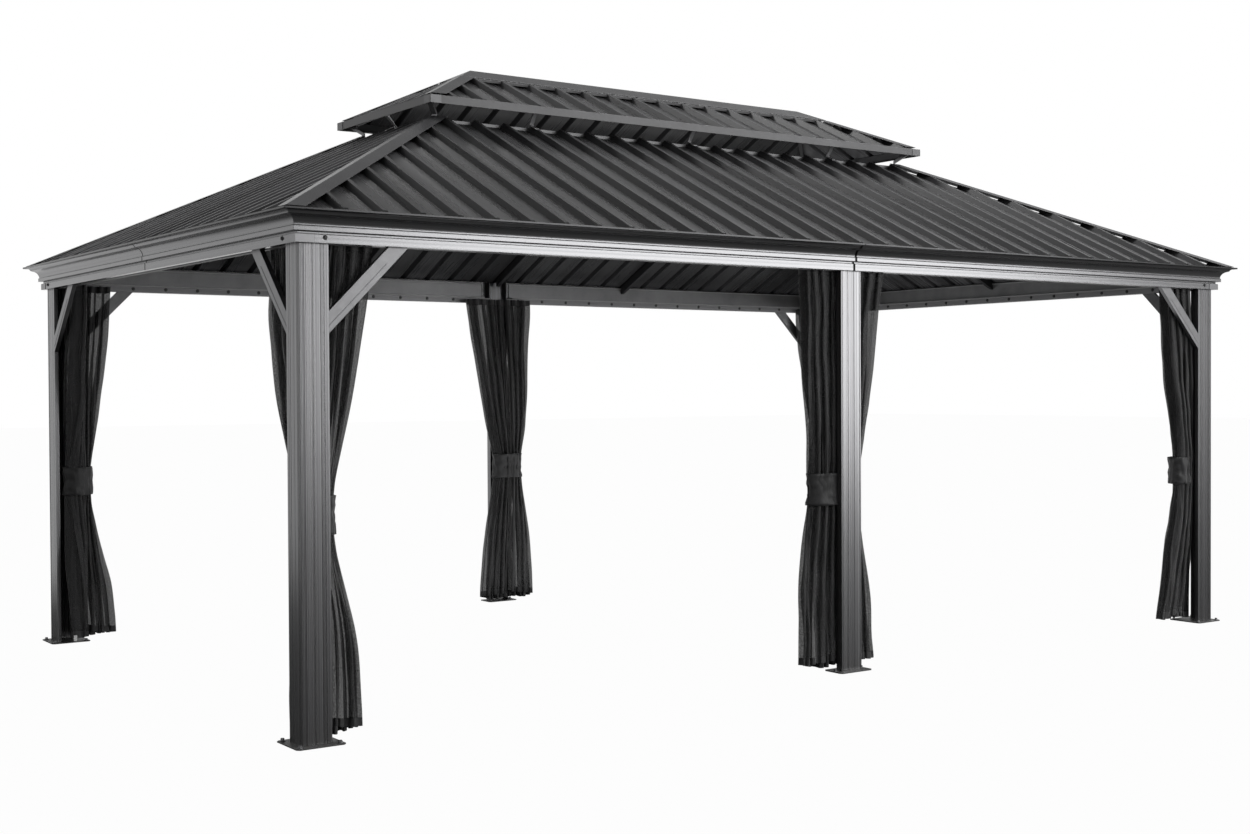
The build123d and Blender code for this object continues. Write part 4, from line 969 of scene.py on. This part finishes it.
def tie_band(name, corner, along, inward, ends, half_depth, seed):
    """A band round a bunch whose two ends are given, drawn in at its middle and creased."""
    bm = bmesh.new()
    uv = bm.loops.layers.uv.new("cloth")
    ring = bmesh.ops.create_circle(bm, cap_ends=False, segments=TIE_SEGMENTS, radius=1.0)["verts"]
    edges = list({edge for vert in ring for edge in vert.link_edges})
    bmesh.ops.translate(bm, vec=(0, 0, TIE_LOW), verts=ring)
    for _ in range(TIE_ROWS):
        grown = bmesh.ops.extrude_edge_only(bm, edges=edges)["geom"]
        edges = [item for item in grown if isinstance(item, bmesh.types.BMEdge)]
        lifted = [item for item in grown if isinstance(item, bmesh.types.BMVert)]
        bmesh.ops.translate(bm, vec=(0, 0, (TIE_HIGH - TIE_LOW) / TIE_ROWS), verts=lifted)
    first, second = (Vector(end) for end in ends)
    middle = (first + second) / 2
    reach = (first - second) / 2
    half_width = reach.length + TIE_BEYOND_ENDS
    across = reach.normalized()
    deep = Vector((-across.y, across.x))
    for vert in bm.verts:
        level = (vert.co.z - TIE_LOW) / (TIE_HIGH - TIE_LOW)
        waist = 1 - TIE_WAIST * math.sin(math.pi * level)
        angle = math.atan2(vert.co.y, vert.co.x)
        around = Vector((math.cos(angle), math.sin(angle), level * 2.2 + math.sin(angle) * 0.4))
        crease = noise.noise(around * 2.1 + Vector((0, 0, seed))) * TIE_CREASE
        x = math.copysign(abs(vert.co.x) ** TIE_SQUARE, vert.co.x) * (half_width * waist + crease)
        y = math.copysign(abs(vert.co.y) ** TIE_SQUARE, vert.co.y) * (half_depth * waist + crease)
        point = middle + across * x + deep * y
        vert.co = Vector(corner) + along * point.x + inward * point.y + Vector((0, 0, vert.co.z))
    for face in bm.faces:
        face.smooth = True
        for loop in face.loops:
            loop[uv].uv = (loop.vert.co.x + loop.vert.co.y, loop.vert.co.z)
    low = sorted((vert for vert in bm.verts if vert.co.z < TIE_LOW + 0.001), key=lambda vert: vert.index)
    round_length = sum((one.co - other.co).length for one, other in zip(low, low[1:] + low[:1]))
    band = add_piece(name, bm, band_finish)
    fold = band.modifiers.new("doubled", "SOLIDIFY")
    fold.thickness = TIE_THICK
    fold.offset = 0
    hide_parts("curtain_ties")
    return band, round_length


for bunch, corner, along, inward, lines, depth, seed, panels in bunches:
    ends = [(run[TIE_LEVEL], into[TIE_LEVEL]) for run, into in lines]
    half_depth = depth[TIE_LEVEL] + TIE_CLEARANCE
    band, round_length = tie_band(f"tie_{bunch}", corner, along, inward, ends, half_depth, seed)

# Label: a white woven tape, folded double and sewn into the hem at the back left post.
# The photo shows only a white spot there, so the label is a guess and is left blank.
LABEL_WIDTH, LABEL_DROP, LABEL_GAP = 0.018, 0.032, 0.004
LABEL_PLACE = Vector((-2.834, 1.4765, 0.050))
label_finish = bpy.data.materials.new("white_tape")
label_finish.use_nodes = True
tree = label_finish.node_tree
shader = tree.nodes["Principled BSDF"]
shader.inputs["Roughness"].default_value = 0.7
place = add_node(tree, "ShaderNodeTexCoord")
threads = add_node(tree, "ShaderNodeTexNoise", Scale=900.0, Detail=2.0)
tone = add_node(tree, "ShaderNodeValToRGB")
tone.color_ramp.elements[0].color = (0.78, 0.78, 0.78, 1)
tone.color_ramp.elements[1].color = (0.95, 0.95, 0.94, 1)
tree.links.new(place.outputs["Object"], threads.inputs["Vector"])
tree.links.new(threads.outputs["Fac"], tone.inputs["Fac"])
tree.links.new(tone.outputs["Color"], shader.inputs["Base Color"])
bm = bmesh.new()
bmesh.ops.create_grid(bm, x_segments=4, y_segments=16, size=0.5)
for vert in bm.verts:
    bend = math.pi * (vert.co.y + 0.5)
    vert.co = LABEL_PLACE + Vector((
        vert.co.x * LABEL_WIDTH, -LABEL_GAP / 2 * math.cos(bend), -LABEL_DROP * math.sin(bend),
    ))
label = add_piece("hem_label", bm, label_finish)
